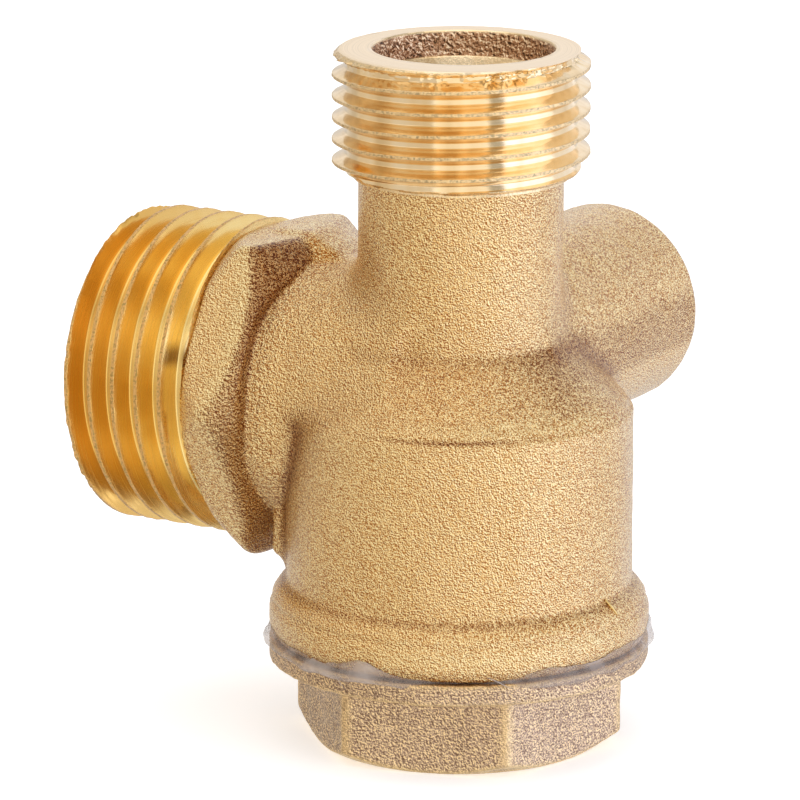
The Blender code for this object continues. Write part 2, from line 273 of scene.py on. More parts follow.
# ------------------------------------------------------------------ node materials
class Nodes:
    """Short-hand for building a node material."""

    def __init__(self, name):
        self.mat = bpy.data.materials.new(name)
        self.mat.use_nodes = True
        self.tree = self.mat.node_tree
        self.tree.nodes.clear()
        self.out = self.add("ShaderNodeOutputMaterial")
        self.bsdf = self.add("ShaderNodeBsdfPrincipled")
        self.link(self.bsdf, "BSDF", self.out, "Surface")
        self.coord = self.add("ShaderNodeTexCoord")

    def add(self, kind, **props):
        node = self.tree.nodes.new(kind)
        for k, v in props.items():
            setattr(node, k, v)
        return node

    def link(self, a, out, b, inp):
        self.tree.links.new(a.outputs[out], b.inputs[inp])

    def put(self, target, inp, value):
        """value is a number, a colour, or a (node, output) pair."""
        if isinstance(value, tuple) and len(value) == 2 and hasattr(value[0], "outputs"):
            self.tree.links.new(value[0].outputs[value[1]], target.inputs[inp])
        else:
            target.inputs[inp].default_value = value

    def noise(self, scale, detail=2.0, rough=0.5, stretch=None, distort=0.0, kind="FBM"):
        node = self.add("ShaderNodeTexNoise")
        node.inputs["Scale"].default_value = scale
        node.inputs["Detail"].default_value = detail
        node.inputs["Roughness"].default_value = rough
        node.inputs["Distortion"].default_value = distort
        if stretch is None:
            self.link(self.coord, "Object", node, "Vector")
        else:
            m = self.add("ShaderNodeMapping")
            m.inputs["Scale"].default_value = stretch
            self.link(self.coord, "Object", m, "Vector")
            self.link(m, "Vector", node, "Vector")
        return (node, "Fac")

    def relief(self, scale, detail, rough, step, gain, distort=0.0):
        """Slope of a noise field along one direction, centred on 0.5: grain lit from one side."""
        near = self.noise(scale, detail, rough, distort=distort)
        move = self.add("ShaderNodeMapping")
        move.inputs["Location"].default_value = tuple(step * c * MM for c in (0.52, 0.30, 0.80))
        self.link(self.coord, "Object", move, "Vector")
        far = self.add("ShaderNodeTexNoise")
        for key, v in (("Scale", scale), ("Detail", detail), ("Roughness", rough), ("Distortion", distort)):
            far.inputs[key].default_value = v
        self.link(move, "Vector", far, "Vector")
        diff = self.math("SUBTRACT", near, (far, "Fac"))
        return self.math("MULTIPLY_ADD", diff, gain, 0.5), near

    def attr(self, name):
        node = self.add("ShaderNodeAttribute", attribute_name=name)
        return (node, "Fac")

    def ramp(self, value, stops, interp="LINEAR"):
        node = self.add("ShaderNodeValToRGB")
        node.color_ramp.interpolation = interp
        els = node.color_ramp.elements
        while len(els) < len(stops):
            els.new(0.5)
        for el, (pos, col) in zip(els, stops):
            el.position = pos
            el.color = (*col, 1.0) if len(col) == 3 else col
        self.put(node, "Fac", value)
        return (node, "Color")

    def mix(self, fac, a, b, mode="MIX"):
        node = self.add("ShaderNodeMix", data_type="RGBA", blend_type=mode)
        self.put(node, 0, fac)
        self.put(node, 6, a if not (isinstance(a, tuple) and len(a) == 3) else (*a, 1.0))
        self.put(node, 7, b if not (isinstance(b, tuple) and len(b) == 3) else (*b, 1.0))
        return (node, 2)

    def math(self, op, a, b=None, c=None, clamp=False):
        node = self.add("ShaderNodeMath", operation=op, use_clamp=clamp)
        self.put(node, 0, a)
        if b is not None:
            self.put(node, 1, b)
        if c is not None:
            self.put(node, 2, c)
        return (node, 0)

    def remap(self, value, f0, f1, t0, t1, smoothstep=False):
        node = self.add("ShaderNodeMapRange",
                        interpolation_type="SMOOTHSTEP" if smoothstep else "LINEAR")
        self.put(node, "Value", value)
        for key, v in (("From Min", f0), ("From Max", f1), ("To Min", t0), ("To Max", t1)):
            node.inputs[key].default_value = v
        return (node, 0)

    def grey(self, value):
        node = self.add("ShaderNodeCombineColor")
        for k in range(3):
            self.put(node, k, value)
        return (node, "Color")

    def bump(self, height, distance, strength=1.0, normal=None):
        node = self.add("ShaderNodeBump")
        node.inputs["Distance"].default_value = distance
        self.put(node, "Strength", strength)
        self.put(node, "Height", height)
        if normal is not None:
            self.put(node, "Normal", normal)
        return (node, "Normal")


def cast_brass(name, pale, gold, brown, grain_scale=10200.0, bump=1.0, rough=(0.19, 0.37),
               speck=0.95):
    """Sand-cast brass: a fine grain over slow colour changes, with painted shade and painted glints on the grain, and
    painted shade with brown patina in the creases and hollows.
    """
    n = Nodes(name)
    slow = n.noise(95.0, 3.0, 0.55)
    mid = n.noise(620.0, 3.0, 0.6)
    fine, grain = n.relief(grain_scale, 1.6, 0.60, 0.050, 1.0, distort=0.3)
    wide, grit = n.relief(grain_scale * 0.52, 2.0, 0.60, 0.095, 1.0, distort=0.4)
    shade_and_patina, zone, painted_highlight = n.attr("shade_and_patina"), n.attr("coarse"), n.attr("painted_highlight")
    base = n.ramp(slow, [(0.34, gold), (0.66, pale)])
    base = n.mix(n.remap(mid, 0.38, 0.72, 0.0, 0.30), base, pale)
    patch = n.noise(270.0, 2.0, 0.55, distort=0.5)
    base = n.mix(n.remap(patch, 0.46, 0.66, 0.0, 0.35), base, tuple(c * k for c, k in zip(gold, (0.93, 0.86, 0.72))))
    # painted highlight along the hexagon's ridge, above the shoulder line, on the collar and on a pit's rim
    base = n.mix(n.math("MULTIPLY", painted_highlight, 0.60, clamp=True), base, (1.0, 0.76, 0.36))
    # painted shade, with some brown patina, in the creases, on the hexagon's face toward the body and inside the bores
    base = n.mix(n.math("MULTIPLY", shade_and_patina, 0.9, clamp=True), base, brown)
    # the sand grain, finer on plain faces and coarser along the ridge and the creases; it is shaded as if lit from one
    # side, with painted shade on its dark side and painted glints and sparks on its bright side
    wide_part = n.math("MULTIPLY_ADD", zone, 0.85, 0.40)
    both = n.math("ADD", n.math("MULTIPLY", n.math("SUBTRACT", fine, 0.5), 1.25),
                  n.math("MULTIPLY", n.math("SUBTRACT", wide, 0.5), wide_part))
    both = n.math("ADD", both, n.math("MULTIPLY", n.math("SUBTRACT", grain, 0.5), 0.35))
    deeper = n.mix(1.0, n.mix(1.0, base, base, mode="MULTIPLY"), (0.44, 0.36, 0.27), mode="MULTIPLY")
    base = n.mix(n.math("MULTIPLY", n.remap(both, -0.095, -0.004, 1.0, 0.0), speck, clamp=True), base, deeper)
    glint = n.remap(both, 0.015, 0.115, 0.0, 1.0)
    open_part = n.math("MULTIPLY_ADD", shade_and_patina, -0.75, 1.0, clamp=True)
    base = n.mix(n.math("MULTIPLY", glint, n.math("MULTIPLY", open_part, 0.85)), base, (1.0, 0.80, 0.42))
    spark = n.math("MULTIPLY", n.remap(both, 0.095, 0.150, 0.0, 1.0), open_part)
    base = n.mix(n.math("MULTIPLY", spark, 0.60), base, (1.0, 0.84, 0.44))
    n.put(n.bsdf, "Base Color", base)
    n.put(n.bsdf, "Metallic", 1.0)
    n.put(n.bsdf, "Roughness", n.remap(grit, 0.3, 0.7, rough[1], rough[0]))
    n.put(n.bsdf, "Coat Weight", n.math("MULTIPLY", open_part, 0.45))
    n.bsdf.inputs["Coat Roughness"].default_value = 0.26
    normal = n.bump(mid, 0.00008, 0.5 * bump)
    normal = n.bump(grit, 0.00014, n.math("MULTIPLY_ADD", zone, 0.3, 0.7), normal)
    normal = n.bump(grain, 0.00008, 1.0 * bump, normal)
    n.put(n.bsdf, "Normal", normal)
    return n.mat


def turned_brass(name, colour, deep, rough=0.16, lines=9000.0, crest_colour=(0.66, 0.46, 0.24),
                 core_colour=(0.50, 0.31, 0.19), across=(1.0, 1.0, 0.12), band_scale=430.0, band=0.45, darkening_and_highlight_span=None,
                 face_colour=(1.0, 0.82, 0.59)):
    """Machined thread metal: polished, with fine turning lines, and the cast skin left on the crests."""
    n = Nodes(name)
    skin = n.attr("skin")
    face = n.attr("face")
    turn = n.attr("along")
    lines_n = n.add("ShaderNodeTexNoise", noise_dimensions="1D")
    lines_n.inputs["Scale"].default_value = 1.0
    lines_n.inputs["Detail"].default_value = 3.0
    lines_n.inputs["Roughness"].default_value = 0.65
    n.put(lines_n, "W", n.math("MULTIPLY", turn, lines))
    streak = (lines_n, "Fac")
    grain = n.noise(6500.0, 2.0, 0.62)
    slow = n.noise(140.0, 2.0, 0.5)
    # painted reflections: soft darker and lighter bands that run across all grooves at the same angle, standing in for
    # the room reflected in polished metal
    painted_reflections = n.noise(band_scale, 2.0, 0.55, stretch=across)
    core = n.attr("core")
    base = n.ramp(slow, [(0.35, deep), (0.65, colour)])
    base = n.mix(n.remap(streak, 0.35, 0.65, 0.0, 0.30), base, deep)
    base = n.mix(n.remap(painted_reflections, 0.36, 0.50, band, 0.0), base, tuple(c * k for c, k in zip(deep, (0.66, 0.60, 0.50))))
    base = n.mix(n.remap(painted_reflections, 0.50, 0.62, 0.0, band), base, tuple(min(1.0, c * k) for c, k in zip(colour, (1.08, 1.16, 1.35))))
    # darker toward the thread's outer end, with a painted highlight beyond the span toward the hexagon
    if darkening_and_highlight_span:                                              # (from, to) along local X, in metres
        place = n.add("ShaderNodeSeparateXYZ")
        n.link(n.coord, "Object", place, "Vector")
        base = n.mix(n.remap((place, "X"), darkening_and_highlight_span[0], darkening_and_highlight_span[1], 0.95, 0.10), base, tuple(c * k for c, k in zip(deep, (0.86, 0.72, 0.50))))
        base = n.mix(n.remap((place, "X"), darkening_and_highlight_span[1], darkening_and_highlight_span[1] + 0.002, 0.0, 0.45), base, tuple(min(1.0, c * k) for c, k in zip(colour, (1.06, 1.12, 1.3))))
        # a painted dark reflection in one groove near the hexagon, on the front side
        dark_reflection_spot = n.math("MULTIPLY", n.remap((place, "X"), -0.0162, -0.0154, 0.0, 1.0, True), n.remap((place, "Y"), -0.0080, -0.0088, 0.0, 1.0))
        dark_reflection_spot = n.math("MULTIPLY", dark_reflection_spot, n.math("MULTIPLY", n.remap((place, "Z"), 0.0245, 0.0254, 0.0, 1.0, True),
                                               n.remap((place, "Z"), 0.0268, 0.0256, 0.0, 1.0, True)))
        base = n.mix(n.math("MULTIPLY", dark_reflection_spot, 0.85), base, (0.20, 0.10, 0.035))
    skin_col = n.mix(n.remap(grain, 0.36, 0.56, 0.85, 0.0), crest_colour,
                     tuple(c * 0.42 for c in deep))
    # the cored bore: its dark colour is partly painted shade of the inside, and its lumps are shaded as if lit from one
    # side, with painted shade on their dark side and painted highlight on their bright side
    lumps, lump_h = n.relief(3900.0, 2.0, 0.6, 0.11, 1.0, distort=0.5)
    core_col = n.mix(n.remap(lumps, 0.34, 0.50, 1.0, 0.0), core_colour, tuple(c * 0.16 for c in core_colour))
    core_col = n.mix(n.remap(lumps, 0.53, 0.66, 0.0, 1.0), core_col, (1.0, 0.78, 0.52))
    face_col = n.mix(n.remap(streak, 0.36, 0.60, 0.50, 0.0), face_colour, tuple(c * 0.72 for c in face_colour))
    base = n.mix(skin, base, skin_col)
    base = n.mix(core, base, core_col)
    base = n.mix(face, base, face_col)
    n.put(n.bsdf, "Base Color", base)
    n.put(n.bsdf, "Metallic", 1.0)
    r = n.remap(streak, 0.3, 0.7, rough * 0.7, rough * 1.5)
    rm = n.add("ShaderNodeMix", data_type="FLOAT")
    n.put(rm, 0, n.math("MAXIMUM", n.math("MAXIMUM", skin, core), face))
    n.put(rm, 2, r)
    n.put(rm, 3, 0.36)
    n.put(n.bsdf, "Roughness", (rm, 0))
    normal = n.bump(streak, 0.000012, 0.30)
    normal = n.bump(grain, 0.00008, n.math("MAXIMUM", skin, core), normal)
    n.put(n.bsdf, "Normal", normal)
    return n.mat


def plain_metal(name, colour, dark, rough, scale=2500.0, strength=0.25):
    n = Nodes(name)
    a = n.noise(scale, 3.0, 0.6)
    b = n.noise(scale * 0.12, 2.0, 0.5)
    n.put(n.bsdf, "Base Color", n.ramp(b, [(0.3, dark), (0.7, colour)]))
    n.put(n.bsdf, "Metallic", 1.0)
    n.put(n.bsdf, "Roughness", n.remap(a, 0.3, 0.7, rough * 0.8, rough * 1.25))
    n.put(n.bsdf, "Normal", n.bump(a, 0.00002, strength))
    return n.mat


def rubber(name):
    n = Nodes(name)
    a = n.noise(5000.0, 3.0, 0.6)
    n.put(n.bsdf, "Base Color", n.ramp(a, [(0.3, (0.012, 0.012, 0.013)), (0.7, (0.03, 0.03, 0.03))]))
    n.put(n.bsdf, "Roughness", n.remap(a, 0.3, 0.7, 0.55, 0.75))
    n.put(n.bsdf, "Normal", n.bump(a, 0.00002, 0.3))
    return n.mat


def sealant(name):
    """Cured sealant: a milky, slightly violet film that lets the metal show through."""
    n = Nodes(name)
    cloud = n.noise(420.0, 2.5, 0.55)
    fine = n.noise(3800.0, 2.0, 0.5)
    n.put(n.bsdf, "Base Color", n.ramp(cloud, [(0.35, (0.34, 0.265, 0.22)), (0.68, (0.54, 0.46, 0.41))]))
    n.put(n.bsdf, "Roughness", n.remap(fine, 0.3, 0.7, 0.20, 0.38))
    n.put(n.bsdf, "Alpha", n.remap(cloud, 0.36, 0.66, 0.30, 0.60))
    n.bsdf.inputs["IOR"].default_value = 1.42
    n.bsdf.inputs["Specular IOR Level"].default_value = 0.5
    n.put(n.bsdf, "Normal", n.bump(cloud, 0.00012, 0.5, n.bump(fine, 0.00003, 0.25)))
    return n.mat


# ------------------------------------------------------------------ the casting
BODY_OUTLINE = round_corners([
    (-6.0, 38.25), (R_NECK, 38.25), (R_NECK, 27.05), (7.45, 26.25), (10.98, 22.80),
    (11.06, 22.56), (R_BODY, 22.32), (R_BODY, 10.85), (11.95, 10.20), (12.30, 9.66),
    (12.22, 9.40), (R_COLLAR, 9.02), (R_COLLAR, 7.9), (12.1, 7.02), (-6.0, 7.02)],
    [0, 0, 0.9, 0.7, 0.22, 0.05, 0.16, 0.22, 0.5, 0.20, 0.10, 0.35, 0.8, 0.30, 0])


def port_local(x, y, z):
    """Distance along the side port, and the two cross coordinates (toward -Y, toward +Z)."""
    return -x, -y, z - Z_PORT


def back_of_hexagon(s, b, rr):
    """The hexagon's face toward the body: nearly flat by the neck, then a cone at the corners."""
    low = smooth(1.0, -4.0, b)
    slope = 1.2 + 0.6 * low
    cone = (rr - 10.2 - slope * (s - 10.8 - 1.1 * low)) / np.sqrt(1.0 + slope * slope)
    return smax(10.80 + 0.35 * low - 0.75 * smooth(-7.5, -10.0, b) - 0.85 * smooth(5.5, 8.8, b) - s, cone, 0.25)


def port_form(x, y, z):
    s, a, b = port_local(x, y, z)
    rr = np.hypot(a, b)
    neck = np.maximum(smax(rr - PORT_NECK_R - 0.30 * smooth(8.2, 10.9, s), s - 12.0, 0.2), 1.0 - s)
    sides = smax(np.abs(0.8660 * a + 0.5 * b) - HEX_APOTHEM,
                 np.abs(-0.8660 * a + 0.5 * b) - HEX_APOTHEM, 0.70)
    flats = smax(smax(b - HEX_APOTHEM, sides, 0.28), -b - 11.05, 0.85)
    body_side = back_of_hexagon(s, b, rr)
    thread_side = (rr - 11.72 + 0.828 * (s - 13.34)) / 1.298
    hexagon = smax(flats, smax(body_side, thread_side, 0.35), 0.42)
    gusset = smax(smax(np.abs(a) - 5.7, np.abs(s - 9.6) - 1.3, 0.3), np.abs(b + 7.6) - 2.75, 0.5)
    hexagon = smin(hexagon, gusset, 0.35)
    hexagon = smax(hexagon, s - 14.9, 0.12)
    stub = np.maximum(rr - 9.5, s - 15.6)
    stub = np.maximum(stub, 13.0 - s)
    # the crease behind the hexagon is tight, but the top runs down to the neck in a swell
    k = 0.18 + 2.6 * smooth(8.0, 8.9, b) * smooth(2.6, 0.6, a)
    return smin(smin(neck, hexagon, k), stub, 0.15), neck


def boss_form(x, y, z):
    rr = np.hypot(x, z - Z_BOSS)
    r = BOSS_R + 0.05 * smooth(19.0, 10.0, y)
    return smax(smax(rr - r, y - BOSS_LEN, 0.45), -y, 0.1)


def casting_outer(x, y, z):
    rho = np.hypot(x, y)
    main = sd_polygon(rho.astype(np.float32), np.asarray(z, np.float32), BODY_OUTLINE)
    port, neck = port_form(x, y, z)
    boss = boss_form(x, y, z)
    return main, port, boss


def casting_bores(x, y, z):
    """Signed distance of everything that is cut away, negative in the air."""
    rho = np.hypot(x, y)
    sx, sy = x - SHIFT[0], y - SHIFT[1]
    neck = np.maximum(np.hypot(sx, sy) - 4.43, 30.0 - z)
    seat = np.maximum(rho - 4.3, np.maximum(z - 31.4, 20.0 - z))
    lip = np.maximum(rho - 5.3, np.maximum(z - 21.5, 10.0 - z))
    chamber = np.maximum(rho - 9.2, np.maximum(z - 22.2, 10.0 - z))
    ring = np.maximum(np.maximum(5.3 - rho, z - 22.2), 21.0 - z)   # keeps the seat's lip standing
    chamber = np.minimum(np.maximum(chamber, z - 21.5), np.maximum(chamber, -(rho - 5.4)))
    plug = np.maximum(rho - 10.2, np.maximum(z - 12.2, 5.0 - z))
    s, a, b = port_local(x, y, z)
    side = np.maximum(np.hypot(a, b) - 7.2, 7.9 - s)
    br = np.hypot(x, z - Z_BOSS)
    boss = np.maximum(br - 4.3 - 0.5 * smooth(19.9, 20.4, y), 12.0 - y)
    orifice = np.maximum(br - 1.5, np.maximum(2.0 - y, y - 13.0))
    out = smin(neck, seat, 0.2)
    for other in (np.minimum(lip, chamber), plug, side, boss, orifice):
        out = np.minimum(out, other)
    return out


def casting(x, y, z):
    main, port, boss = casting_outer(x, y, z)
    # the fillet is tight low down beside the side port and opens out toward the top
    round_up = 0.40 + 1.0 * smooth(21.2, 23.4, z) + 0.5 * smooth(25.5, 29.5, z) + 0.7 * smooth(15.5, 12.6, z)
    outer = smin(smin(main, port, round_up), boss, 1.0)
    # slow waviness of the sand mould
    wave = (0.030 * NOISE_A(x * 0.33 + 3.0, y * 0.33, z * 0.33)
            + 0.022 * NOISE_B(x * 0.95, y * 0.95 + 5.0, z * 0.95)
            + 0.012 * NOISE_A(x * 2.2, y * 2.2, z * 2.2 + 9.0))
    return smax(outer + wave, -casting_bores(x, y, z), 0.12)


def build_casting(mat):
    step = 0.225
    verts, quads = surface_nets(casting, (-16.0, -13.0, 6.9), (13.0, 21.0, 38.7), step)
    x, y, z = verts.T
    main, port, boss = casting_outer(x, y, z)
    bores = casting_bores(x, y, z)

    def seam(a, b, width):
        return np.exp(-((np.abs(a) + np.abs(b)) / width) ** 2)
    fade = 0.10 + 0.90 * smooth(23.6, 21.8, z)
    # painted shade with some brown patina in the fillets where the body meets the side port and the boss, fading
    # upward, and painted shade on the cone beside the boss
    shade_and_patina = fade * 1.05 * np.exp(-(np.maximum(port, 0.0) / 1.05) ** 2 - (np.maximum(main, 0.0) / 0.45) ** 2)
    shade_and_patina += 0.55 * seam(main, boss, 0.7) + 0.4 * seam(port, boss, 0.8)
    shade_and_patina += 0.55 * np.exp(-(boss / 2.2) ** 2) * smooth(22.9, 23.6, z) * smooth(27.5, 26.0, z)
    s, a, b = port_local(x, y, z)
    rr = np.hypot(a, b)
    back = back_of_hexagon(s, b, rr)                          # the face turned toward the body
    # painted shade on the hexagon's face turned toward the body, darker toward its top and near the neck
    shade = 0.60 + 0.34 * smooth(0.0, 6.0, b) + 0.25 * smooth(9.2, 8.4, rr)
    shade_and_patina += (shade * smooth(-0.52, -0.20, back) * smooth(0.24, 0.06, back) * smooth(8.75, 9.15, rr) * smooth(13.6, 12.6, s) * (s > 9.6)
               * (1.0 - 0.9 * smooth(8.0, 8.8, b) * smooth(2.4, 1.2, a)))
    # painted highlight along the hexagon's ridge
    painted_highlight = np.exp(-((back + 0.75) / 0.50) ** 2) * (s > 10.6) * (s < 13.5) * (rr > 9.8) * smooth(-6.0, 3.0, b)
    coarse = np.exp(-((back + 0.25) / 0.65) ** 2) * smooth(8.6, 9.0, rr) * (s > 9.6) * (s < 13.6)
    coarse = np.maximum(coarse, np.exp(-((s - 9.9) / 0.9) ** 2) * (np.abs(rr - 9.0) < 0.6) * 0.8)
    coarse = np.maximum(coarse, 0.3 * fade * seam(main, port, 1.3))
    rho = np.hypot(x, y)
    # painted shade at the neck's foot, on the cone beside the boss and along the shoulder line
    shade_and_patina += 0.35 * np.exp(-((z - 26.9) / 0.5) ** 2) * (rho < 8.5)
    turn = np.degrees((np.arctan2(y, x) - FRONT + math.pi) % TAU - math.pi)
    shade_and_patina += 0.34 * np.exp(-((turn - 44.0) / 20.0) ** 2) * smooth(23.0, 23.9, z) * smooth(27.6, 26.6, z) * (rho < 11.6)
    shade_and_patina += 1.10 * np.exp(-((z - 22.55) / 0.14) ** 2 - ((turn + 3.0) / 24.0) ** 2) * (np.abs(main) < 0.4)
    # painted highlight just above the shoulder line
    painted_highlight = np.maximum(painted_highlight, 1.00 * np.exp(-((z - 23.15) / 0.48) ** 2 - ((turn - 9.0) / 26.0) ** 2) * (np.abs(main) < 0.4))
    # painted shade in the collar creases and just above the sealant
    shade_and_patina += 0.55 * np.exp(-((z - 10.62) / 0.26) ** 2) * (rho > 11) + 0.35 * np.exp(-((z - 9.42) / 0.09) ** 2)
    shade_and_patina += 0.34 * np.exp(-((z - 7.35) / 0.22) ** 2) * (rho > 11.0)
    # painted highlights along the collar's bulge
    painted_highlight = np.maximum(painted_highlight, 0.60 * np.exp(-((z - 8.55) / 0.42) ** 2 - ((turn - 2.0) / 34.0) ** 2) * (rho > 11.8))
    painted_highlight = np.maximum(painted_highlight, 0.75 * np.exp(-((z - 8.9) / 0.50) ** 2 - ((turn - 42.0) / 12.0) ** 2) * (rho > 11.8))
    # a small pit on the hexagon's front corner, painted only: a dark spot with a painted highlight on its rim
    shade_and_patina += 0.85 * np.exp(-((x + 12.6) ** 2 + (y + 11.2) ** 2 + (z - 22.5) ** 2) / 0.10)
    painted_highlight = np.maximum(painted_highlight, np.exp(-((x + 12.6) ** 2 + (y + 11.2) ** 2 + (z - 21.75) ** 2) / 0.09))
    # painted shade inside the bores
    shade_and_patina += 0.9 * (bores < 0.12)
    ob = make_object("body_casting", verts, quads, mat,
                     {"shade_and_patina": np.clip(shade_and_patina, 0, 1), "coarse": np.clip(coarse, 0, 1),
                      "painted_highlight": np.clip(painted_highlight, 0, 1)})
    return ob


# ------------------------------------------------------------------ threaded ring
def thread_samples():
    """Phases of one pitch at which the profile is sampled, crest at 0."""
    half = [0.0, 0.030, 0.055, 0.066, 0.080, 0.13, 0.20, 0.27, 0.32, 0.355, 0.39, 0.44]
    return sorted([-p for p in half[1:]] + half + [-0.5])


def thread_radius(t, crest_r, depth):
    a = np.abs(t)
    flank = crest_r + depth * (0.068 - a) / 0.295
    root = crest_r - depth
    r = smax(flank, np.full_like(flank, root), 0.12)
    return smin(r, np.full_like(flank, crest_r), 0.03)


def build_thread(name, mat, crest_r, depth, pitch, low, high, phase_h, phase_a, envelope, tail,
                 transform, columns, seed, burr_h, burr_size=0.05):
    """A closed ring whose outer wall is a helical thread.  Heights and radii in mm, along local +Z.

    phase_h is the crest height at angle phase_a; envelope(h) caps the radius at the ends;
    tail lists (radius, height, kind) rows from the top edge round through the bore to the
    bottom edge, kind 'f' for a turned face, 'c' for cored skin and 'm' for a machined bore.
    """
    ph = thread_samples()
    n = len(ph)
    na, nb = Noise(seed), Noise(seed + 1)
    span = high - low
    k0 = int(math.floor((low - phase_h) / pitch)) - 3
    k1 = int(math.ceil((high - phase_h) / pitch)) + 3
    verts, skin, face, along = [], [], [], []
    columns_rows = []

    def outer_point(theta, h, t):
        r = float(thread_radius(np.array(t), crest_r, depth))
        on_crest = max(0.0, 1.0 - abs(t) / 0.085)
        cap = envelope(h)
        rough = 0.0
        if on_crest > 0:
            rough = (0.030 * float(na(np.array(theta * crest_r / 0.30), np.array(h * 1.2), np.array(2.5)))
                     + 0.018 * float(nb(np.array(theta * crest_r / 0.14), np.array(h * 2.0), np.array(7.5))))
            rough *= min(1.0, 2.0 * on_crest)
        edge = math.exp(-((h - burr_h) / 0.28) ** 2)
        burr = edge * burr_size * (float(na(np.array(theta * crest_r / 0.9), np.array(h * 2.2), np.array(11.5)))
                                   + 0.8 * float(nb(np.array(theta * crest_r / 0.35), np.array(h * 4.0), np.array(1.5))))
        rr = min(r, cap)
        s = min(1.0, on_crest * 3.0) if r <= cap + 0.02 else 0.0
        if r > cap:
            rough = 0.35 * rough
            s = 0.35
        return rr + rough + burr, s

    # noise calls are made in bulk below, so gather the points first
    pts_theta, pts_h, pts_t = [], [], []
    for i in range(columns):
        theta = TAU * i / columns
        base = phase_h + pitch * (((theta - phase_a) / TAU) % 1.0)
        # the helix index of a row must change by n when theta wraps past phase_a
        wrap = math.floor((theta - phase_a) / TAU)
        rows = []
        for k in range(k0, k1):
            for j, t in enumerate(ph):
                h = base + pitch * (k + t)
                if low + 0.035 * pitch < h < high - 0.035 * pitch:
                    rows.append(((k - wrap) * n + j, h, t))
        columns_rows.append((theta, rows, base))
    start = 0
    index_maps = []
    top_ids, bottom_ids = [], []
    for theta, rows, base in columns_rows:
        def phase_of(h):
            v = (h - base) / pitch
            return v - round(v)
        pts_theta.append(theta); pts_h.append(low); pts_t.append(phase_of(low))
        bottom_ids.append(start)
        start += 1
        m = {}
        for row_id, h, t in rows:
            m[row_id] = start
            pts_theta.append(theta); pts_h.append(h); pts_t.append(t)
            start += 1
        index_maps.append(m)
        pts_theta.append(theta); pts_h.append(high); pts_t.append(phase_of(high))
        top_ids.append(start)
        start += 1
    th, hh, tt = np.array(pts_theta), np.array(pts_h), np.array(pts_t)
    r = thread_radius(tt, crest_r, depth)
    cap = np.array([envelope(h) for h in hh])
    on_crest = np.clip(1.0 - np.abs(tt) / 0.085, 0, 1)
    ct, st = np.cos(th) * crest_r, np.sin(th) * crest_r
    rough = (0.026 * na(ct / 0.42, st / 0.42, hh * 1.3) + 0.016 * nb(ct / 0.17, st / 0.17, hh * 2.0))
    rough *= np.clip(2.0 * on_crest, 0, 1)
    turn = np.degrees((th - FRONT + math.pi) % TAU - math.pi)
    rag = 1.0 + 1.3 * np.exp(-((turn - 24.0) / 22.0) ** 2) + 0.9 * np.exp(-((turn + 66.0) / 14.0) ** 2)
    burr = np.exp(-((hh - burr_h) / 0.30) ** 2) * burr_size * rag * (
        0.8 * na(ct / 1.1, st / 1.1, hh * 2.4 + 4.0) + nb(ct / 0.42, st / 0.42, hh * 4.0)
        + 0.9 * na(ct / 0.20, st / 0.20, hh * 6.0 + 2.0))
    capped = r > cap
    radius = np.minimum(r, cap) + np.where(capped, 0.4 * rough, rough) + burr
    sk = np.where(capped, 0.45, np.clip(on_crest * 3.0, 0, 1))
    verts = np.stack([radius * np.cos(th), radius * np.sin(th), hh], 1)
    skin = list(sk)
    face = [0.0] * len(skin)
    core = [0.0] * len(skin)
    along = list(hh * MM * 1.0 + 0.0)
    faces = []
    for i in range(columns):
        j = (i + 1) % columns
        a, b = index_maps[i], index_maps[j]
        # the next column's row ids, shifted so that equal ids lie on one helix line
        drop = 0
        if j == 0:
            drop = n
        bb = {key - drop: v for key, v in b.items()} if drop else b
        common = sorted(set(a) & set(bb))
        lo, hi = common[0], common[-1]
        for c in range(lo, hi):
            faces.append((a[c], bb[c], bb[c + 1], a[c + 1]))
        down_a = [a[c] for c in sorted(x for x in a if x < lo)]
        down_b = [bb[c] for c in sorted(x for x in bb if x < lo)]
        faces.append(tuple([bottom_ids[i], bottom_ids[j]] + down_b + [bb[lo], a[lo]] + down_a[::-1]))
        up_a = [a[c] for c in sorted(x for x in a if x > hi)]
        up_b = [bb[c] for c in sorted(x for x in bb if x > hi)]
        faces.append(tuple([a[hi], bb[hi]] + up_b + [top_ids[j], top_ids[i]] + up_a[::-1]))
    # face, bore and back: plain rows
    loops = [top_ids]
    verts = list(map(tuple, verts))
    angles = np.arange(columns) * TAU / columns
    for radius_, height, kind, offset in tail:
        ids = []
        ct, st = np.cos(angles), np.sin(angles)
        wob = {"c": 0.055, "f": 0.006, "m": 0.004, "d": 0.004}[kind] * (
            na(ct * radius_ / 0.5, st * radius_ / 0.5, np.full(columns, height * 1.9))
            + 0.6 * nb(ct * radius_ / 0.2, st * radius_ / 0.2, np.full(columns, height * 3.1)))
        for i in range(columns):
            ids.append(len(verts))
            rr = radius_ + (wob[i] if kind != "f" else 0.0)
            verts.append((offset[0] + rr * ct[i], offset[1] + rr * st[i],
                          height + (wob[i] if kind == "f" else 0.0)))
            skin.append(0.0)
            core.append({"c": 1.0, "d": 0.25}.get(kind, 0.0))
            face.append(1.0 if kind == "f" else 0.0)
            along.append((radius_ if kind == "f" else height) * MM)
        loops.append(ids)
    loops.append(bottom_ids)
    for a, b in zip(loops, loops[1:]):
        for i in range(columns):
            j = (i + 1) % columns
            faces.append((a[i], a[j], b[j], b[i]))
    for i in top_ids:
        face[i] = 1.0
        skin[i] = 0.2
    v = np.array(verts)
    v = v @ np.array(transform[0]).T + np.array(transform[1])
    return make_object(name, v, faces, mat,
                       {"skin": skin, "face": face, "along": along, "core": core}, smooth_deg=38.0)


def lerp_profile(points):
    xs = [p[0] for p in points]
    ys = [p[1] for p in points]
    return lambda h: float(np.interp(h, xs, ys))


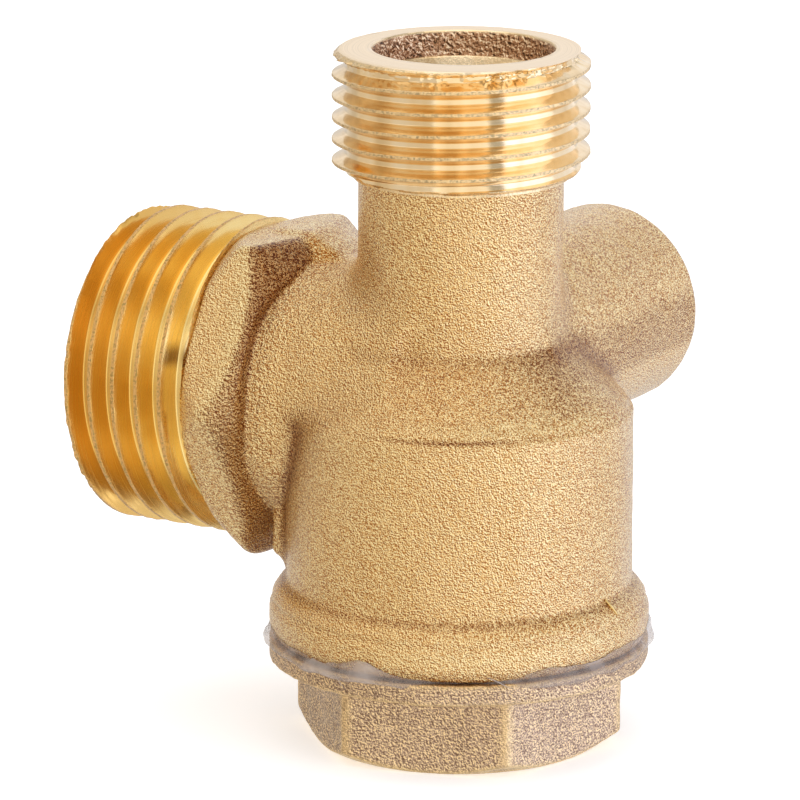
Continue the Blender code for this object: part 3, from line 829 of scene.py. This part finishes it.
def build_top_thread(mat):
    envelope = lerp_profile([(37.0, 6.9), (37.80, 7.05), (38.02, 7.62), (38.35, 7.85), (38.9, 9.0),
                             (45.2, 9.0), (45.45, 8.34), (45.9, 7.86)])
    s = SHIFT
    tail = [(7.70, 45.93, "f", (0, 0)), (7.2, 45.91, "f", (0.0, 0.05)), (6.6, 45.90, "f", (-0.05, 0.25)),
            (6.3, 45.90, "f", (-0.12, 0.45)), (6.00, 45.89, "f", s), (5.93, 45.83, "m", s),
            (5.84, 45.70, "c", s), (5.78, 45.50, "c", s), (5.70, 45.2, "c", s), (5.64, 44.95, "c", s),
            (5.58, 44.7, "c", s), (5.52, 44.45, "c", s), (5.46, 44.32, "c", s), (5.30, 44.27, "d", s),
            (5.24, 44.20, "d", s), (5.00, 43.80, "d", s), (4.75, 43.35, "d", s), (4.42, 42.72, "d", s),
            (4.38, 42.55, "m", s), (4.38, 41.0, "m", s), (4.38, 39.0, "m", s), (4.38, 37.6, "m", s),
            (5.6, 37.55, "m", (0, 0)), (6.2, 37.58, "m", (0, 0))]
    ident = (((1, 0, 0), (0, 1, 0), (0, 0, 1)), (0, 0, 0))
    return build_thread("top_port_thread", mat, 8.34, 0.86, 1.411, 37.62, 45.9, 44.62, FRONT,
                        envelope, tail, ident, 300, 41, 45.45, 0.10)


def build_side_thread(mat):
    envelope = lerp_profile([(13.9, 9.45), (14.80, 9.5), (14.95, 10.0), (15.3, 10.9),
                             (23.75, 10.9), (23.95, 10.50), (24.5, 9.72)])
    z = (0, 0)
    tail = [(9.55, 24.53, "f", z), (9.0, 24.51, "f", z), (8.3, 24.5, "f", z), (7.72, 24.48, "f", z),
            (7.5, 24.32, "m", z), (7.28, 24.15, "m", z), (7.2, 23.6, "c", z), (7.2, 22.0, "c", z),
            (7.2, 19.5, "c", z), (7.2, 17.0, "c", z), (7.17, 14.9, "c", z), (7.17, 14.0, "c", z),
            (8.3, 13.95, "m", z), (9.0, 13.98, "m", z)]
    turn = (((0, 0, -1), (-1, 0, 0), (0, 1, 0)), (0, 0, Z_PORT))
    # crests lie at s = 285.0 k mm at th = 0, spaced by the pitch
    return build_thread("side_port_thread", mat, 10.55, 1.12, 1.7990, 14.05, 24.5, 23.77, 0.0,
                        envelope, tail, turn, 300, 57, 23.95, 0.06)


# ------------------------------------------------------------------ the plug
def plug_form(x, y, z):
    rho = np.hypot(x, y)
    d = None
    for k in range(3):
        ang = math.radians(16.6 + 30.0 + 60.0 * k)
        flat = np.abs(x * math.cos(ang) + y * math.sin(ang)) - 9.5
        d = flat if d is None else smax(d, flat, 0.30)
    d = smax(d, (rho - 9.3 - 1.727 * z) / 1.995, 0.18)
    hexagon = smax(smax(d, -z, 0.10), z - 5.7, 0.05)
    flange = smax(smax(rho - R_COLLAR, 5.44 - z, 0.35), z - 6.88, 0.16)
    out = smin(hexagon, flange, 0.30)
    post = np.maximum(rho - 9.0, np.maximum(z - 7.4, 5.0 - z))
    out = np.minimum(out, post)
    wave = (0.030 * NOISE_B(x * 0.5 + 1.0, y * 0.5, z * 0.5)
            + 0.020 * NOISE_A(x * 1.3, y * 1.3 + 2.0, z * 1.3)
            + 0.014 * NOISE_B(x * 2.9, y * 2.9, z * 2.9))
    ends = smooth(0.0, 0.5, z)
    out = out + wave * (0.25 + 0.75 * ends)
    ca, sa = math.cos(FRONT + math.radians(16.0)), math.sin(FRONT + math.radians(16.0))
    chip = np.sqrt(((x * ca + y * sa - 10.35) / 0.75) ** 2 + ((y * ca - x * sa) / 1.9) ** 2 + ((z - 0.10) / 0.42) ** 2) - 1.0
    out = smax(out, -0.42 * chip, 0.12)
    cup = np.maximum(rho - 6.6, 3.6 - z)
    return smax(out, -cup, 0.25)


def build_plug(mat):
    step = 0.205
    verts, quads = surface_nets(plug_form, (-13.2, -13.2, -0.4), (13.2, 13.2, 8.0), step)
    verts[:, 2] = np.maximum(verts[:, 2], 0.0)
    x, y, z = verts.T
    rho = np.hypot(x, y)
    # painted shade in the crease between the hexagon and the flange
    shade_and_patina = 0.9 * np.exp(-((z - 5.3) / 0.3) ** 2) * (rho < 11.6)
    edge = np.zeros(len(verts))
    for k in range(3):
        for sgn in (1, -1):
            ang = math.radians(16.6 + 60.0 * k) + (0 if sgn > 0 else math.pi)
            along = x * math.cos(ang) + y * math.sin(ang)
            edge = np.maximum(edge, 0.5 * np.exp(-((along - 10.85) / 0.16) ** 2) * (z < 5.3))
    cone = np.abs(rho - 9.3 - 1.727 * z)
    edge = np.maximum(edge, np.exp(-(cone / 0.22) ** 2) * (z < 2.4) * 0.8)
    edge = np.maximum(edge, np.exp(-((z - 6.80) / 0.10) ** 2) * smooth(12.0, 12.35, rho) * 0.8)
    edge = np.maximum(edge, np.exp(-((z - 5.5) / 0.14) ** 2) * smooth(12.0, 12.3, rho) * 0.8)
    return make_object("bottom_cap_casting", verts, quads, mat,
                       {"shade_and_patina": np.clip(shade_and_patina, 0, 1), "edge": np.clip(edge, 0, 1)})


def plug_brass(name):
    n = Nodes(name)
    slow = n.noise(160.0, 3.0, 0.6)
    slope, grain = n.relief(7400.0, 2.0, 0.62, 0.070, 1.0, distort=0.4)
    grit = n.noise(2300.0, 2.0, 0.6)
    shade_and_patina, edge = n.attr("shade_and_patina"), n.attr("edge")
    base = n.ramp(slow, [(0.32, (0.42, 0.280, 0.185)), (0.70, (0.56, 0.385, 0.265))])
    # flecks that are half plain grain and half grain slope shaded as if lit from one side: partly painted shade on the
    # dark side and painted highlight on the gold side
    flecks_and_lit_grain = n.math("MULTIPLY_ADD", slope, 0.45, n.math("MULTIPLY", grain, 0.55))
    base = n.mix(n.remap(flecks_and_lit_grain, 0.405, 0.485, 0.86, 0.0), base, (0.16, 0.085, 0.045))
    gold = n.remap(flecks_and_lit_grain, 0.518, 0.590, 0.0, 0.95)
    base = n.mix(gold, base, (0.98, 0.72, 0.38))
    base = n.mix(n.math("MULTIPLY", edge, n.remap(grit, 0.3, 0.6, 0.4, 1.0)), base, (0.95, 0.67, 0.31))
    # painted shade in the crease between the hexagon and the flange
    base = n.mix(n.math("MULTIPLY", shade_and_patina, 0.75), base, (0.30, 0.19, 0.09))
    n.put(n.bsdf, "Base Color", base)
    n.put(n.bsdf, "Metallic", 1.0)
    n.put(n.bsdf, "Roughness", n.remap(grit, 0.3, 0.7, 0.56, 0.36))
    normal = n.bump(grit, 0.00010, 0.7)
    normal = n.bump(grain, 0.00006, 0.9, normal)
    n.put(n.bsdf, "Normal", normal)
    return n.mat


def build_plug_thread(mat):
    envelope = lerp_profile([(6.5, 9.15), (7.2, 9.15), (7.7, 10.2), (11.2, 10.2), (11.7, 9.3)])
    z = (0, 0)
    tail = [(8.9, 11.71, "f", z), (8.0, 11.7, "f", z), (7.0, 11.7, "f", z), (6.75, 11.68, "f", z),
            (6.6, 11.55, "m", z), (6.56, 10.5, "m", z), (6.56, 8.5, "m", z), (6.56, 7.0, "m", z),
            (6.9, 6.9, "m", z), (8.3, 6.9, "m", z)]
    ident = (((1, 0, 0), (0, 1, 0), (0, 0, 1)), (0, 0, 0))
    return build_thread("bottom_cap_thread", mat, 9.9, 0.75, 1.5, 6.95, 11.7, 8.2, 0.0,
                        envelope, tail, ident, 200, 71, 11.4, 0.02)


# ------------------------------------------------------------------ sealant film
def build_sealant(mat):
    columns = 720
    na, nb = Noise(91), Noise(92)
    th = np.arange(columns) * TAU / columns
    phi = np.degrees((th - FRONT + math.pi) % TAU - math.pi)     # 0 in front, + to the right
    c, s = np.cos(th) * 12.5, np.sin(th) * 12.5
    zero = np.zeros(columns)
    big = na(c / 3.2, s / 3.2, zero + 1.5)
    small = nb(c / 0.8, s / 0.8, zero + 4.5)
    fine = na(c / 0.3, s / 0.3, zero + 8.5)

    def lobe(centre, width):
        return np.exp(-(((phi - centre + 180.0) % 360.0 - 180.0) / width) ** 2)
    climb = (0.16 + 0.12 * big + 0.10 * small
             + 0.45 * lobe(-82, 12) + 0.10 * lobe(-58, 8) + 0.72 * lobe(-30, 7.5)
             + 0.34 * lobe(30, 9) + 0.58 * lobe(60, 13) + 0.85 * lobe(88, 13)
             + 0.7 * lobe(128, 12) + 0.6 * lobe(-125, 18) + 0.4 * lobe(170, 10))
    gap = lobe(2.0, 9.5) ** 0.6
    thin = lobe(-16, 7.5)
    climb = np.maximum(climb * (1 - gap) * (1 - 0.62 * thin), 0.02) * (1.0 + 0.16 * fine)
    out = 0.12 + 0.10 * big + 0.06 * small + 0.28 * lobe(-86, 8) + 0.28 * lobe(88, 9) + 0.10 * lobe(-33, 8)
    out = np.maximum(out, 0.03) * (1 - gap)
    inner = 11.2 - 0.25 * gap
    drop = np.clip(0.10 + 0.16 * nb(c / 1.6, s / 1.6, zero + 2.0) + 0.10 * lobe(40, 14) + 0.12 * lobe(-70, 12), 0.0, 0.45) * (1 - gap)

    def collar(h):
        return np.interp(h, [7.25, 7.45, 7.7, 8.0, 8.4, 9.0], [11.98, 12.22, 12.38, 12.45, 12.47, 12.47])
    reach = 12.42 * (1 - gap) + 11.55 * gap
    top = 7.22 + climb
    rows = [
        (inner, zero + 6.88), (reach - 0.35, zero + 6.74), (reach - 0.02 + 0.3 * out, 6.73 - 0.3 * drop),
        (reach + 0.05 + 0.55 * out, 6.66 - drop), (reach + 0.08 + 0.9 * out, 6.74 - 0.5 * drop),
        (reach + 0.06 + out, 6.98 + 0.10 * small * (1 - gap)),
        (np.maximum(collar(7.2 + 0.35 * climb), reach - 0.5) * (1 - gap) + (reach + 0.02) * gap + 0.10 + 0.75 * out * (1 - gap), 7.16 + 0.32 * climb),
        (collar(7.2 + 0.75 * climb) * (1 - gap) + reach * gap + (0.09 + 0.35 * out) * (1 - gap), 7.20 + 0.72 * climb),
        (collar(top) * (1 - gap) + (reach - 0.06) * gap + 0.055 * (1 - gap), top),
        (collar(top) * (1 - gap) + (reach - 0.12) * gap - 0.03 * (1 - gap), top - 0.03),
        (collar(7.2 + 0.5 * climb) * (1 - gap) + (reach - 0.2) * gap - 0.05 * (1 - gap), 7.20 + 0.4 * climb),
        (reach - 0.5, zero + 7.21), (inner, zero + 7.12)]
    verts, faces = [], []
    for r, h in rows:
        r = r + zero
        verts += list(zip(r * np.cos(th), r * np.sin(th), h))
    m = len(rows)
    for k in range(m):
        kk = (k + 1) % m
        for i in range(columns):
            j = (i + 1) % columns
            faces.append((k * columns + i, k * columns + j, kk * columns + j, kk * columns + i))
    return make_object("sealant_squeeze", verts, faces, mat)


def build_strand(name, mat, path, radius):
    """A hair of sealant pulled out from the film, tapering at both ends."""
    pts = [Vector(p) for p in path]
    sides = 8
    verts, faces = [], []
    for i, p in enumerate(pts):
        tangent = (pts[min(i + 1, len(pts) - 1)] - pts[max(i - 1, 0)]).normalized()
        ref = Vector((p.x, p.y, 0)).normalized()
        side = tangent.cross(ref).normalized()
        up = side.cross(tangent).normalized()
        t = i / (len(pts) - 1)
        r = radius * (0.35 + 0.65 * math.sin(math.pi * min(1.0, 0.1 + t * 0.9)))
        for k in range(sides):
            a = TAU * k / sides
            verts.append(tuple(p + r * (math.cos(a) * side + math.sin(a) * up)))
    for i in range(len(pts) - 1):
        for k in range(sides):
            kk = (k + 1) % sides
            faces.append((i * sides + k, i * sides + kk, (i + 1) * sides + kk, (i + 1) * sides + k))
    faces.append(tuple(range(sides))[::-1])
    faces.append(tuple((len(pts) - 1) * sides + k for k in range(sides)))
    return make_object(name, verts, faces, mat)


def on_rim(phi_deg, radius, height):
    a = FRONT + math.radians(phi_deg)
    return (radius * math.cos(a), radius * math.sin(a), height)


# ------------------------------------------------------------------ turned inner pieces
def lathe(name, profile, mat, segments=96, steps=4, round_r=0.12, smooth_deg=40.0):
    """Turn a closed (radius, height) outline, in mm, with its corners eased."""
    pts = round_corners(profile, [round_r if p[0] > 1e-6 else 0 for p in profile], steps)
    clean = [pts[0]]
    for p in pts[1:]:
        if math.hypot(p[0] - clean[-1][0], p[1] - clean[-1][1]) > 1e-4:
            clean.append(p)
    if math.hypot(clean[0][0] - clean[-1][0], clean[0][1] - clean[-1][1]) < 1e-4:
        clean.pop()
    verts, loops, faces = [], [], []
    for r, h in clean:
        if r < 1e-6:
            loops.append([len(verts)])
            verts.append((0, 0, h))
        else:
            loops.append(list(range(len(verts), len(verts) + segments)))
            verts += [(r * math.cos(TAU * i / segments), r * math.sin(TAU * i / segments), h)
                      for i in range(segments)]
    pairs = list(zip(loops, loops[1:] + loops[:1]))
    for a, b in pairs:
        for i in range(segments):
            j = (i + 1) % segments
            if len(a) == 1 and len(b) == 1:
                break
            if len(a) == 1:
                faces.append((a[0], b[j], b[i]))
            elif len(b) == 1:
                faces.append((a[i], a[j], b[0]))
            else:
                faces.append((a[i], a[j], b[j], b[i]))
    ob = make_object(name, verts, faces, mat, smooth_deg=smooth_deg)
    return ob


def build_inner(mats):
    disc_top = 21.35
    base = disc_top - 2.0 - 0.15
    # carrier: a cup with a boss, a skirt and four wings, joined by unions
    shell = lathe("poppet_carrier_turned", [
        (0.0, base), (0.0, base - 4.6), (3.4, base - 4.6), (3.6, base - 1.6), (5.95, base - 1.6),
        (5.95, 15.2), (7.0, 15.2), (7.0, base - 1.6), (7.05, base - 1.4), (7.05, base + 1.25), (6.45, base + 1.25), (6.45, base)],
        mats["turned"], segments=96, round_r=0.12)
    import bmesh
    for k in range(4):
        bm = bmesh.new()
        box = bmesh.ops.create_cube(bm, size=1.0)["verts"]
        for v in box:
            v.co = Vector((6.3 if v.co.x < 0 else 8.95, -0.7 if v.co.y < 0 else 0.7,
                           15.2 if v.co.z < 0 else 19.8)) * MM
        bmesh.ops.bevel(bm, geom=bm.edges[:], offset=0.15 * MM, segments=3, affect="EDGES")
        bmesh.ops.transform(bm, matrix=Matrix.Rotation(math.radians(45 + 90 * k), 4, "Z"), verts=bm.verts[:])
        mesh = bpy.data.meshes.new("poppet_wing_%d" % k)
        bm.to_mesh(mesh)
        bm.free()
        mesh.shade_smooth()
        mesh.materials.append(mats["turned"])
        wing = bpy.data.objects.new("poppet_wing_%d" % k, mesh)
        bpy.context.scene.collection.objects.link(wing)
        mod = shell.modifiers.new("wing%d" % k, "BOOLEAN")
        mod.operation, mod.object, mod.solver = "UNION", wing, "EXACT"
    bake_modifiers(shell)
    for k in range(4):
        bpy.data.objects.remove(bpy.data.objects["poppet_wing_%d" % k], do_unlink=True)
    shell.data.set_sharp_from_angle(angle=math.radians(35))
    disc = lathe("seal_disc_moulded", [
        (1.75, disc_top - 2.0), (6.2, disc_top - 2.0), (6.2, disc_top), (1.75, disc_top)],
        mats["rubber"], round_r=0.3)
    low = disc_top + 0.15
    washer = lathe("seal_washer_pressed", [
        (1.75, low), (3.2, low), (3.2, low + 0.55), (1.75, low + 0.55)], mats["zinc"], round_r=0.14)
    seat = low + 0.55 + 0.15
    foot = base - 3.1
    screw = lathe("seal_screw_slotted", [
        (0.0, seat + 1.35), (0.0, foot), (1.15, foot), (1.45, foot + 0.3), (1.45, seat), (2.5, seat),
        (2.5, seat + 0.45), (2.1, seat + 0.95), (1.3, seat + 1.28)], mats["zinc"], segments=64, round_r=0.1)
    bm = bmesh.new()
    for v in bmesh.ops.create_cube(bm, size=1.0)["verts"]:
        v.co = Vector((v.co.x * 7.0, v.co.y * 0.6, seat + 0.75 + (1.0 if v.co.z > 0 else 0.0))) * MM
    mesh = bpy.data.meshes.new("slot_tool")
    bm.to_mesh(mesh)
    bm.free()
    tool = bpy.data.objects.new("slot_tool", mesh)
    bpy.context.scene.collection.objects.link(tool)
    mod = screw.modifiers.new("slot", "BOOLEAN")
    mod.operation, mod.object, mod.solver = "DIFFERENCE", tool, "EXACT"
    bake_modifiers(screw)
    bpy.data.objects.remove(tool, do_unlink=True)
    screw.data.set_sharp_from_angle(angle=math.radians(35))
    # spring
    sr, wire, turns, low, high = 5.2, 0.35, 7.0, 4.2, 17.0
    per, sides = 48, 14
    count = int(turns * per)
    pts = []
    for i in range(count + 1):
        t = i / per
        a = min(t, 1.0) * 0.756
        b = max(0.0, t - (turns - 1.0)) * 0.756
        free = high - low - 2 * 0.756
        mid = min(max(t - 1.0, 0.0), turns - 2.0)
        zz = low + a + b + free * mid / (turns - 2.0)
        pts.append(Vector((sr * math.cos(TAU * t), sr * math.sin(TAU * t), zz)))
    verts, faces = [], []
    for i, p in enumerate(pts):
        tan = (pts[min(i + 1, count)] - pts[max(i - 1, 0)]).normalized()
        o = Vector((p.x, p.y, 0)).normalized()
        o = (o - tan * o.dot(tan)).normalized()
        u = tan.cross(o)
        for k in range(sides):
            a = TAU * k / sides
            verts.append(tuple(p + wire * (math.cos(a) * o + math.sin(a) * u)))
    for i in range(count):
        for k in range(sides):
            kk = (k + 1) % sides
            faces.append((i * sides + k, i * sides + kk, (i + 1) * sides + kk, (i + 1) * sides + k))
    faces.append(tuple(range(sides))[::-1])
    faces.append(tuple(count * sides + k for k in range(sides)))
    spring = make_object("return_spring_coiled", verts, faces, mats["spring"], smooth_deg=60.0)
    return shell, disc, washer, screw, spring


def bake_modifiers(ob):
    deps = bpy.context.evaluated_depsgraph_get()
    deps.update()
    mesh = bpy.data.meshes.new_from_object(ob.evaluated_get(deps))
    ob.modifiers.clear()
    ob.data = mesh


# ------------------------------------------------------------------ stage, light, camera
def panel(tree, az, el, a0, a1, soft_a, e0, e1, soft_e):
    """1 inside a window of azimuth and elevation, 0 outside, with soft borders."""
    def edge(value, lo, hi):
        node = tree.nodes.new("ShaderNodeMapRange")
        node.interpolation_type = "SMOOTHSTEP"
        tree.links.new(value, node.inputs["Value"])
        node.inputs["From Min"].default_value = lo
        node.inputs["From Max"].default_value = hi
        return node.outputs[0]

    def times(a, b):
        node = tree.nodes.new("ShaderNodeMath")
        node.operation = "MULTIPLY"
        tree.links.new(a, node.inputs[0])
        tree.links.new(b, node.inputs[1])
        return node.outputs[0]
    out = times(edge(az, a0, a0 + soft_a), edge(az, a1, a1 - soft_a))
    out = times(out, edge(el, e0, e0 + soft_e))
    return times(out, edge(el, e1, e1 - soft_e))


def build_world():
    """A plain studio: pale all round, with broad soft panels given by direction."""
    world = bpy.data.worlds.new("studio")
    bpy.context.scene.world = world
    world.use_nodes = True
    tree = world.node_tree
    tree.nodes.clear()
    out = tree.nodes.new("ShaderNodeOutputWorld")
    back = tree.nodes.new("ShaderNodeBackground")
    tree.links.new(back.outputs[0], out.inputs[0])
    coord = tree.nodes.new("ShaderNodeTexCoord")
    rot = tree.nodes.new("ShaderNodeVectorRotate")
    rot.rotation_type = "Z_AXIS"
    rot.inputs["Angle"].default_value = -FRONT           # camera side becomes +X, its right +Y
    tree.links.new(coord.outputs["Generated"], rot.inputs["Vector"])
    sep = tree.nodes.new("ShaderNodeSeparateXYZ")
    tree.links.new(rot.outputs[0], sep.inputs[0])

    def m(op, a, b=None):
        node = tree.nodes.new("ShaderNodeMath")
        node.operation = op
        for k, v in enumerate((a, b)):
            if v is None:
                continue
            if isinstance(v, (int, float)):
                node.inputs[k].default_value = v
            else:
                tree.links.new(v, node.inputs[k])
        return node.outputs[0]
    az = m("MULTIPLY", m("ARCTAN2", sep.outputs[1], sep.outputs[0]), 180 / math.pi)
    el = m("MULTIPLY", m("ARCSINE", sep.outputs[2]), 180 / math.pi)
    total = None
    for level, tint, window in PANELS:
        gain = m("MULTIPLY", panel(tree, az, el, *window), level)
        node = tree.nodes.new("ShaderNodeVectorMath")
        node.operation = "SCALE"
        node.inputs[0].default_value = tint
        tree.links.new(gain, node.inputs["Scale"])
        add = tree.nodes.new("ShaderNodeVectorMath")
        add.operation = "ADD"
        if total is None:
            add.inputs[0].default_value = (0.50, 0.50, 0.50)
        else:
            tree.links.new(total, add.inputs[0])
        tree.links.new(node.outputs[0], add.inputs[1])
        total = add.outputs[0]
    tree.links.new(total, back.inputs["Color"])
    back.inputs["Strength"].default_value = 1.0


PANELS = [
    # level, tint, (az0, az1, soft, el0, el1, soft); azimuth from the camera side, + to its right
    (0.70, (1.0, 0.98, 0.95), (-29, 29, 2, -70, 48, 8)),       # wall behind the camera
    (0.50, (1.0, 1.0, 0.98), (27, 47, 2, 27, 50, 8)),         # its top right corner
    (0.22, (0.95, 1.0, 1.08), (54, 110, 3, 29, 46, 6)),       # top of the box at camera right
    (0.24, (1.0, 0.82, 0.58), (-125, -28, 2, -70, 40, 24)),   # soft box, camera left
    (0.46, (0.92, 0.99, 1.24), (42, 152, 2, -70, 34, 5)),     # large soft box, camera right
    (0.62, (0.92, 1.08, 1.58), (42, 104, 2, -70, 34, 5)),     # its brighter near half
    (0.20, (1.0, 0.88, 0.70), (-125, -28, 2, 8, 62, 14)),     # its upper part
    (0.26, (1.0, 0.96, 0.90), (-125, -28, 2, -78, -36, 10)),  # its foot
    (0.34, (1.0, 0.96, 0.90), (-118, -42, 8, 18, 44, 8)),     # its bright middle
    (0.22, (1.0, 0.97, 0.97), (-200, -150, 12, -2, 44, 12)),  # pale wall straight behind
    (0.22, (1.0, 0.97, 0.97), (150, 200, 12, -2, 44, 12)),
    (0.22, (1.0, 0.95, 0.88), (-200, -118, 8, -70, 62, 10)),  # pale wall behind, left
    (0.30, (0.92, 0.98, 1.15), (140, 200, 10, -70, 62, 10)),  # pale wall behind, right
    (0.88, (1.0, 0.99, 0.98), (-200, 200, 1, 44, 120, 26)),     # overhead
]


def build_stage():
    n = Nodes("floor_pale")
    a = n.noise(60.0, 3.0, 0.5)
    n.put(n.bsdf, "Base Color", n.ramp(a, [(0.3, (0.90, 0.90, 0.90)), (0.7, (0.93, 0.93, 0.93))]))
    n.put(n.bsdf, "Roughness", 0.9)
    n.bsdf.inputs["Specular IOR Level"].default_value = 0.0
    n.bsdf.inputs["Emission Color"].default_value = (1.0, 1.0, 1.0, 1.0)
    n.bsdf.inputs["Emission Strength"].default_value = 0.42
    size, steps = 4.0, 8
    verts = [(-size + 2 * size * i / steps, -size + 2 * size * j / steps, -0.00002)
             for j in range(steps + 1) for i in range(steps + 1)]
    faces = [(j * (steps + 1) + i, j * (steps + 1) + i + 1, (j + 1) * (steps + 1) + i + 1, (j + 1) * (steps + 1) + i)
             for j in range(steps) for i in range(steps)]
    floor = make_object("floor", [(x / MM, y / MM, z / MM) for x, y, z in verts], faces, n.mat)
    floor.visible_glossy = False
    floor.visible_shadow = False
    # a white screen all round, so that a low camera sees no horizon; it lights nothing
    rim, tall = 64, [-0.02, 0.5, 1.2, 2.2, 3.4]
    verts = [(3.4 * math.cos(TAU * i / rim) / MM, 3.4 * math.sin(TAU * i / rim) / MM, h / MM)
             for h in tall for i in range(rim)]
    faces = [(j * rim + i, j * rim + (i + 1) % rim, (j + 1) * rim + (i + 1) % rim, (j + 1) * rim + i)
             for j in range(len(tall) - 1) for i in range(rim)]
    w = Nodes("screen_white")
    w.put(w.bsdf, "Base Color", w.ramp(w.noise(2.0, 2.0, 0.5), [(0.3, (0.90, 0.90, 0.90)), (0.7, (0.93, 0.93, 0.93))]))
    w.bsdf.inputs["Specular IOR Level"].default_value = 0.0
    w.bsdf.inputs["Emission Color"].default_value = (1.0, 1.0, 1.0, 1.0)
    w.bsdf.inputs["Emission Strength"].default_value = 0.9
    screen = make_object("screen", verts, faces, w.mat)
    for kind in ("visible_glossy", "visible_diffuse", "visible_transmission", "visible_shadow"):
        setattr(screen, kind, False)


def build_camera():
    k = 0.0834 * MM
    dist, height, pitch = 4674.07 * k, 907.16 * k, 0.2486
    yaw, roll, focal = -0.0100, 0.0024, 6171.2
    turn = Matrix.Rotation(math.radians(CAM_AZ), 3, "Z")
    forward = Vector((math.sin(yaw) * math.cos(pitch), math.cos(yaw) * math.cos(pitch), -math.sin(pitch)))
    right = Vector((math.cos(yaw), -math.sin(yaw), 0.0))
    up = right.cross(forward)
    r2 = math.cos(roll) * right + math.sin(roll) * up
    u2 = -math.sin(roll) * right + math.cos(roll) * up
    place = turn @ Vector((0.0, -dist, height)) + Vector((0.0, 0.0, H_TOP * MM))
    axes = Matrix((turn @ r2, turn @ u2, -(turn @ forward))).transposed().to_4x4()
    data = bpy.data.cameras.new("camera")
    data.sensor_fit = "HORIZONTAL"
    data.sensor_width = 36.0
    data.lens = focal * 36.0 / 800.0
    data.clip_start, data.clip_end = 0.01, 20.0
    cam = bpy.data.objects.new("camera", data)
    cam.matrix_world = Matrix.Translation(place) @ axes
    bpy.context.scene.collection.objects.link(cam)
    bpy.context.scene.camera = cam
    bpy.context.scene.view_settings.view_transform = "Standard"


def main():
    build_camera()
    build_world()
    build_stage()
    body_mat = cast_brass("cast_brass_body", (0.93, 0.595, 0.225), (0.86, 0.495, 0.14), (0.40, 0.145, 0.034))
    thread_mat = turned_brass("turned_brass_top_thread", (0.95, 0.735, 0.45), (0.89, 0.65, 0.35),
                              crest_colour=(0.88, 0.63, 0.32), core_colour=(0.48, 0.245, 0.12), rough=0.12)
    side_mat = turned_brass("turned_brass_side_thread", (0.97, 0.71, 0.28), (0.88, 0.57, 0.16), rough=0.20,
                            crest_colour=(0.78, 0.46, 0.17), across=(0.12, 1.0, 1.0), band_scale=230.0, band=0.28,
                            darkening_and_highlight_span=(-0.0250, -0.0178))
    plug_mat = plug_brass("plug_brass_cast")
    film_mat = sealant("clear_sealant_film")
    mats = {"turned": plain_metal("turned_brass_inner", (0.82, 0.60, 0.26), (0.68, 0.46, 0.17), 0.22),
            "rubber": rubber("black_rubber_moulded"),
            "zinc": plain_metal("zinc_plate", (0.72, 0.71, 0.66), (0.56, 0.56, 0.54), 0.26),
            "spring": plain_metal("spring_wire", (0.60, 0.61, 0.62), (0.45, 0.46, 0.47), 0.28, 6000.0)}

    casting_ob = build_casting(body_mat)
    top = build_top_thread(thread_mat)
    side = build_side_thread(side_mat)
    def sliver(t):
        a = FRONT + math.radians(56.2 + 1.8 * t)
        r = 11.38 + 0.72 * t ** 1.3 + 0.10 * math.sin(math.pi * t)
        return (r * math.cos(a), r * math.sin(a), 10.98 - 1.02 * t)
    flash = build_strand("body_flash_sliver", mats["turned"], [sliver(t) for t in np.linspace(0, 1, 14)], 0.10)
    for ob in (casting_ob, top, side, flash):
        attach(ob, "casting")
        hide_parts("valve_body")
    plug = build_plug(plug_mat)
    plug_thread = build_plug_thread(mats["turned"])
    for ob in (plug, plug_thread):
        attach(ob, "plug")
        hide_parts("bottom_cap")
    film = build_sealant(film_mat)
    hair_a = build_strand("sealant_strand_left", film_mat,
                          [on_rim(-38.6 + 3.6 * t, 12.62 + 0.10 * math.sin(3 * t), 6.92 - 1.1 * t + 0.25 * t * t)
                           for t in np.linspace(0, 1, 14)], 0.045)
    hair_b = build_strand("sealant_strand_front", film_mat,
                          [on_rim(8.5 + 6.5 * t, 12.50 + 0.16 * math.sin(math.pi * t), 7.45 - 0.75 * t ** 1.4)
                           for t in np.linspace(0, 1, 16)], 0.05)
    for ob in (film, hair_a, hair_b):
        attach(ob, "sealant")
        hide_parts("sealant_film")
    carrier, disc, washer, screw, spring = build_inner(mats)
    for ob, node, slot in ((carrier, "poppet_carrier", "turned_brass"), (disc, "seal_disc", "black_rubber"),
                           (washer, "seal_washer", "plated_steel"), (screw, "seal_screw", "plated_steel")):
        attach(ob, "poppet")
        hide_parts(node)
    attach(spring, "plug")
    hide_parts("return_spring")
    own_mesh(spring)

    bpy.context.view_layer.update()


main()
